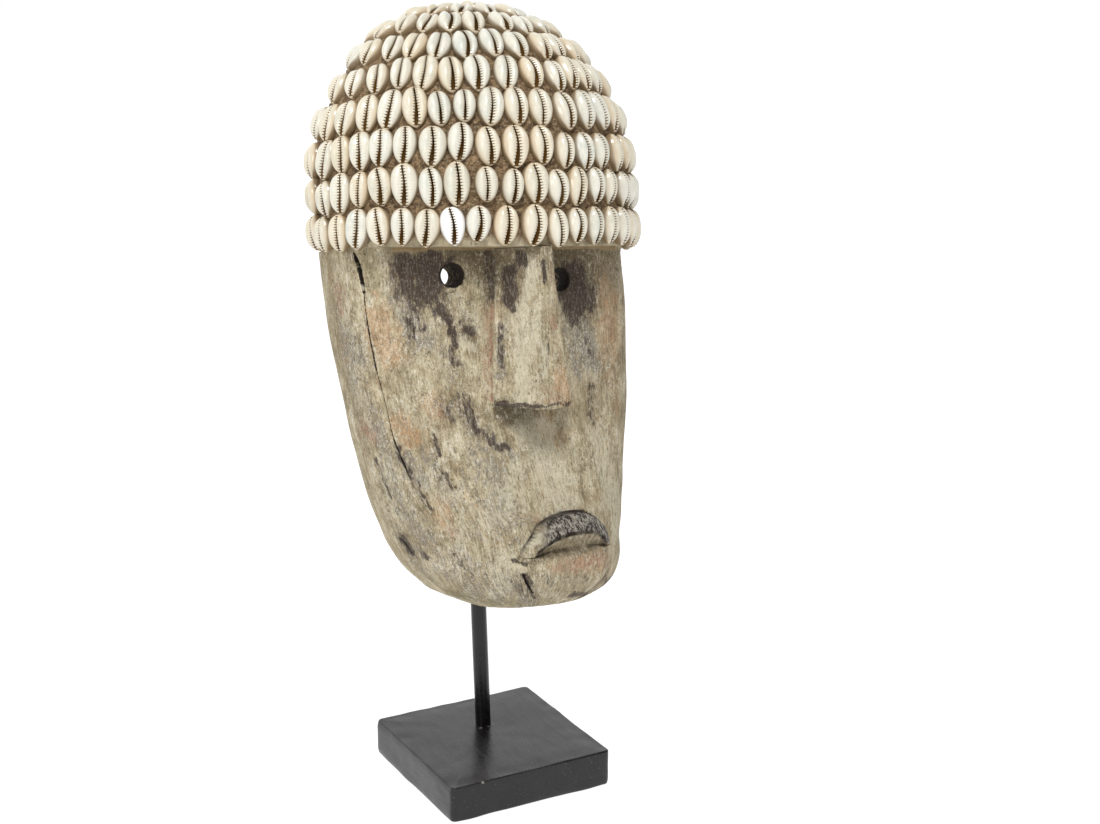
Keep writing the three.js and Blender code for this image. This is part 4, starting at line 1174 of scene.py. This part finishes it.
def wood_material():
    """Light wood cut with a knife, limed, stained with earth and smoke: khaki, with streaks up the grain,
    painted shade under the overhangs and near-black painted shade in the eyes and cracks.
    """
    material, tree, shader = blank_material("carved_wood_weathered")
    place = in_head(tree)
    grain = add(tree, "ShaderNodeAttribute", out=1, attribute_name="grain")
    veil = add(tree, "ShaderNodeAttribute", out=2, attribute_name="veil")
    dark, grey, ochre = three_of(tree, "stain_a")
    rose, chalk, moss = three_of(tree, "stain_b")
    band, line, hole_shade = three_of(tree, "lips")
    bed, ledge, inside = three_of(tree, "places")
    fibre = mottle(tree, grain, 0.9, 0.50, 0.68, (1, 11, 2))
    hair = mottle(tree, grain, 0.45, 0.52, 0.72, (1, 18, 2), 2.0)
    grit, pale_grit = mottle(tree, place, 0.75, 0.54, 0.66), mottle(tree, place, 0.9, 0.55, 0.66, (1, 1, 1.5))
    speck = mottle(tree, grain, 1.5, 0.60, 0.68, (1, 1.9, 1))
    streak = mottle(tree, grain, 0.8, 0.52, 0.68, (1, 8, 1))
    flake = mottle(tree, grain, 2.4, 0.52, 0.58, (1, 1.3, 1), 6.0, 0.8)
    chip = mottle(tree, place, 2.0, 0.53, 0.59, (1, 1, 1.3), 6.0, 0.8)
    patch = mottle(tree, place, 15, 0.40, 0.60, (1, 1, 1.4))
    broad = mottle(tree, grain, 26, 0.42, 0.62, (1, 1.6, 1))
    smoke = soaked(tree, dark, grain, 1.6, (1, 3.6, 1), 0.25, 0.70, 2.0, 0.70)
    # thin brown coat: dirt round the stains, and painted shade and shadow under the ledge, under the nose and
    # round the lips
    dirt_and_shade_coat = soaked(tree, veil, grain, 1.3, (1, 2.4, 1), 0.20, 1.0, 2.2, 0.75)
    ash = soaked(tree, grey, grain, 2.0, (1, 2.0, 1), 0.22, 0.75, 2.0, 0.72)
    lime = soaked(tree, chalk, grain, 1.6, (1, 3.4, 1), 0.25, 0.75, 1.9, 0.72)
    algae = soaked(tree, moss, grain, 3.0, (1, 1.8, 1), 0.15, 0.9)
    earth = soaked(tree, ochre, grain, 3.0, (1, 2.0, 1), 0.12, 1.0, 1.9)
    blush = soaked(tree, rose, grain, 1.8, (1, 2.6, 1), 0.15, 0.9, 1.9)
    ground = graded(tree, cloud_of(tree, grain, 9, (1, 1.7, 1), 9.0, 0.76), [
        (0.33, "#695C46"), (0.42, "#928467"), (0.49, "#B2A486"), (0.55, "#C5B99B"), (0.65, "#DBD2BD")])
    colour = lay(tree, ground,
                 [(broad, 0.45, "#94866A"), (algae, 0.8, "#77704F"), (earth, 0.55, "#B98E66"),
                  (blush, 0.7, "#A97F6A"), (ash, 0.9, "#8B8478"), (ash, pale_grit, 0.85, "#D6D1C6"),
                  (lime, 0.6, "#D4CCB4"), (dirt_and_shade_coat, 0.85, "#5A4C37"), (flake, patch, 0.6, "#6E624B"),
                  (chip, patch, 0.6, "#DAD4C2"), (fibre, 0.28, "#76684F"), (hair, 0.26, "#63553F"),
                  (grit, 0.5, "#5C503B"), (pale_grit, 0.26, "#DDD6C4"), (speck, 0.6, "#4C4233"),
                  (lime, 0.35, "#C6BFA6"), (smoke, 0.9, "#3D312B"), (smoke, streak, 0.36, "#8F877A"),
                  (smoke, pale_grit, 0.34, "#A59D90")])
    # rim under the shells, upper lip with its lines and the painted shadow line along its gap, paste, plain
    # hollow, and near-black painted shade in the eyes and cracks
    bloom, cellar = mottle(tree, place, 6, 0.3, 0.6), mottle(tree, place, 18, 0.45, 0.6)
    brushed = mottle(tree, place, 0.7, 0.50, 0.62, (1, 3, 4))
    rubbed = mottle(tree, place, 1.7, 0.46, 0.58, (1, 2, 3), 5.0, 0.7)
    husk, thread = mottle(tree, place, 3.6, 0.42, 0.60), mottle(tree, place, 1.1, 0.50, 0.62, (3.2, 1, 0.8))
    soot, dust = mottle(tree, place, 2.6, 0.50, 0.64), mottle(tree, place, 1.6, 0.56, 0.66)
    # near-black painted shade on the eye walls and in the cracks
    hole_shade_mask = soaked(tree, hole_shade, grain, 1.1, (1, 2.5, 1), 0.40, 0.65, 1.3)
    colour = lay(tree, colour,
                 [(ledge, bloom, 0.8, "#B3A68A"), (band, "#2F2723"), (band, rubbed, 0.85, "#A39C90"),
                  (band, brushed, 0.55, "#C2BCB0"), (line, "#251C15"), (bed, "#846C50"),
                  (bed, husk, "#645039"), (bed, thread, 0.8, "#A58C69"), (bed, soot, 0.85, "#4E3E2E"),
                  (bed, dust, 0.7, "#A0947A"), (inside, "#9A8562"), (inside, fibre, 0.5, "#6F5C40"),
                  (inside, cellar, 0.5, "#7D6A4B"), (hole_shade_mask, "#261D16")])
    marks = add(tree, "ShaderNodeMath", (fibre, hair), operation="ADD")
    pits = add(tree, "ShaderNodeMath", (grit, 0.8, marks), operation="MULTIPLY_ADD")
    relief = add(tree, "ShaderNodeBump", {"Height": pits, "Strength": 0.7, "Distance": 0.25 * MM},
                 invert=True)
    feed(tree, shader, {"Base Color": colour, "Roughness": 0.82, "Specular IOR Level": 0.3, "Normal": relief})
    return material


def black_paint(name, base, worn, dust, rough, marks):
    """Brushed satin black paint, worn and dusty, with pale marks as (x, y, z, radius, strength) in mm."""
    material, tree, shader = blank_material(name)
    place = add(tree, "ShaderNodeTexCoord", out=3)
    place = add(tree, "ShaderNodeMapping", {"Vector": place, "Scale": (1 / MM, 1 / MM, 1 / MM)})
    brushed = mottle(tree, place, 3.0, 0.42, 0.68, (1, 6, 1))
    colour = lay(tree, base, [(mottle(tree, place, 22, 0.4, 0.7), 0.7, worn), (brushed, 0.2, worn),
                                      (mottle(tree, place, 1.0, 0.66, 0.74), 0.5, dust)])
    ragged = mottle(tree, place, 0.9, 0.35, 0.65)
    for x, y, z, radius, strength in marks:
        away = add(tree, "ShaderNodeVectorMath", (place, (x, y, z)), out=1, operation="DISTANCE")
        away = add(tree, "ShaderNodeMath", (ragged, radius * 0.6, away), operation="MULTIPLY_ADD")
        mark = add(tree, "ShaderNodeMapRange", (away, radius * 0.7, radius, strength, 0.0))
        colour = lay(tree, colour, [(mark, dust)])
    gloss = add(tree, "ShaderNodeMapRange", (brushed, 0.0, 1.0, rough, rough + 0.08))
    strokes = mottle(tree, place, 1.8, 0.3, 0.8, (1, 3, 1))
    relief = add(tree, "ShaderNodeBump", {"Height": strokes, "Strength": 0.2, "Distance": 0.12 * MM})
    feed(tree, shader,
         {"Base Color": colour, "Specular IOR Level": 0.36, "Roughness": gloss, "Normal": relief})
    return material


# Pieces

kinds = bpy.data.collections.new("cowrie_kinds")
collection.children.link(kinds)
for number, shape in enumerate(COWRIES):
    kind = cowrie(number, *shape)
    collection.objects.unlink(kind)
    kinds.objects.link(kind)

shell_tree = shell_setting(cowrie_material())
rows = [set_row(number, shell_tree, kinds) for number in range(1, len(ROWS) + 1)]
for kind in list(kinds.objects):
    drop(kind)
bpy.data.collections.remove(kinds)

head = build_head()
head.name = head.data.name = "carved_head_worked"
mark_head(head.data)
head.data.materials.clear()
head.data.materials.append(wood_material())
base, rod = build_base(), build_rod()
base.data.materials.append(black_paint("satin_black_painted_wood", "#1A1819", "#262425", "#A8A29A", 0.26,
                                       [(-1.5, 10.5, 20.8, 1.6, 0.7), (3.5, 10.2, 20.8, 1.1, 0.6),
                                        (7.5, 11.6, 20.8, 1.2, 0.5), (-31, -50, 20.4, 1.3, 0.8)]))
rod.data.materials.append(black_paint("satin_black_painted_steel", "#121011", "#1B191A", "#6A6560", 0.24, []))
pieces = [(head, "carved_head", "weathered_wood"), (base, "stand_base", "black_painted_wood"),
          (rod, "stand_rod", "black_painted_steel")]
pieces += [(row, "shell_row_%d" % (number + 1), "cowrie_shell") for number, row in enumerate(rows)]
for piece, replaced, slot in pieces:
    for polygon in piece.data.polygons:
        polygon.use_smooth = True
    if piece == head:
        head.data.set_sharp_from_angle(angle=math.radians(50))
    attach(piece, "root")
    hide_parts(replaced)


# Studio

def set_camera():
    """The camera of the photograph, worked out from the corners and edges of the base."""
    level, rise = math.cos(ELEVATION), math.sin(ELEVATION)
    back = Vector((math.sin(AZIMUTH) * level, -math.cos(AZIMUTH) * level, rise))
    right = Vector((math.cos(AZIMUTH), math.sin(AZIMUTH), 0))
    above = back.cross(right)
    eye = right * AIM_RIGHT * MM + Vector((0, 0, AIM_HIGH * MM)) + back * CAMERA_AWAY * MM
    right, above = (right * math.cos(CAMERA_ROLL) + above * math.sin(CAMERA_ROLL),
                    above * math.cos(CAMERA_ROLL) - right * math.sin(CAMERA_ROLL))
    lens = bpy.data.cameras.new("camera")
    lens.sensor_width, lens.lens = SENSOR_MM, SENSOR_MM * FOCAL_PX / IMAGE_WIDTH_PX
    lens.clip_start, lens.clip_end = 0.05, 50
    camera = bpy.data.objects.new("camera", lens)
    collection.objects.link(camera)
    camera.matrix_world = Matrix.Translation(eye) @ Matrix((right, above, back)).transposed().to_4x4()
    scene.camera = camera


def sweep_floor():
    """White paper under the stand, bright enough of itself to stay white."""
    sides = ((-1, -1), (1, -1), (1, 1), (-1, 1))
    corners = [(x * FLOOR_REACH, y * FLOOR_REACH, FLOOR_LEVEL) for x, y in sides]
    floor = put(make_mesh("studio_floor", corners, [(0, 1, 2, 3)]))
    material, tree, shader = blank_material("white_studio_paper")
    feed(tree, shader, {"Base Color": "#909090", "Roughness": 0.9, "Emission Color": "#FFFFFF",
                        "Emission Strength": 0.94})
    floor.data.materials.append(material)


def studio_air():
    """Dim air, lighter on the left and behind, over a white band at the horizon that carries the paper on."""
    world = bpy.data.worlds.new("studio")
    world.use_nodes = True
    tree = world.node_tree
    x, y, z = add(tree, "ShaderNodeSeparateXYZ", [add(tree, "ShaderNodeTexCoord")]).node.outputs
    left = add(tree, "ShaderNodeMapRange", (x, -0.9, 0.6, 0.44, 0.14))
    behind = add(tree, "ShaderNodeMapRange", (y, 0.2, 0.7, left, 1.25))
    glow = add(tree, "ShaderNodeMapRange", (z, 0.08, 0.2, 1.0, behind))
    feed(tree, tree.nodes["Background"], {"Color": "#FFFFFF", "Strength": glow})
    scene.world = world


def softbox(name, at, look, size, power_watts):
    """Rectangular lamp at one point, turned to look at another."""
    lamp = bpy.data.lights.new(name, "AREA")
    lamp.shape, lamp.size, lamp.size_y, lamp.energy = "RECTANGLE", size[0], size[1], power_watts
    holder = bpy.data.objects.new(name, lamp)
    collection.objects.link(holder)
    way = Vector(look) - Vector(at)
    holder.matrix_world = Matrix.Translation(at) @ way.to_track_quat("-Z", "Y").to_matrix().to_4x4()


sweep_floor()
studio_air()
softbox("left_key", (-1.7, -1.0, 1.2), (0, 0, 0.25), (0.55, 0.75), 9)
softbox("top_light", (-0.30, -0.80, 2.0), (0, 0, 0.25), (0.55, 0.55), 26)
scene.view_settings.view_transform, scene.view_settings.look = "Standard", "None"
set_camera()
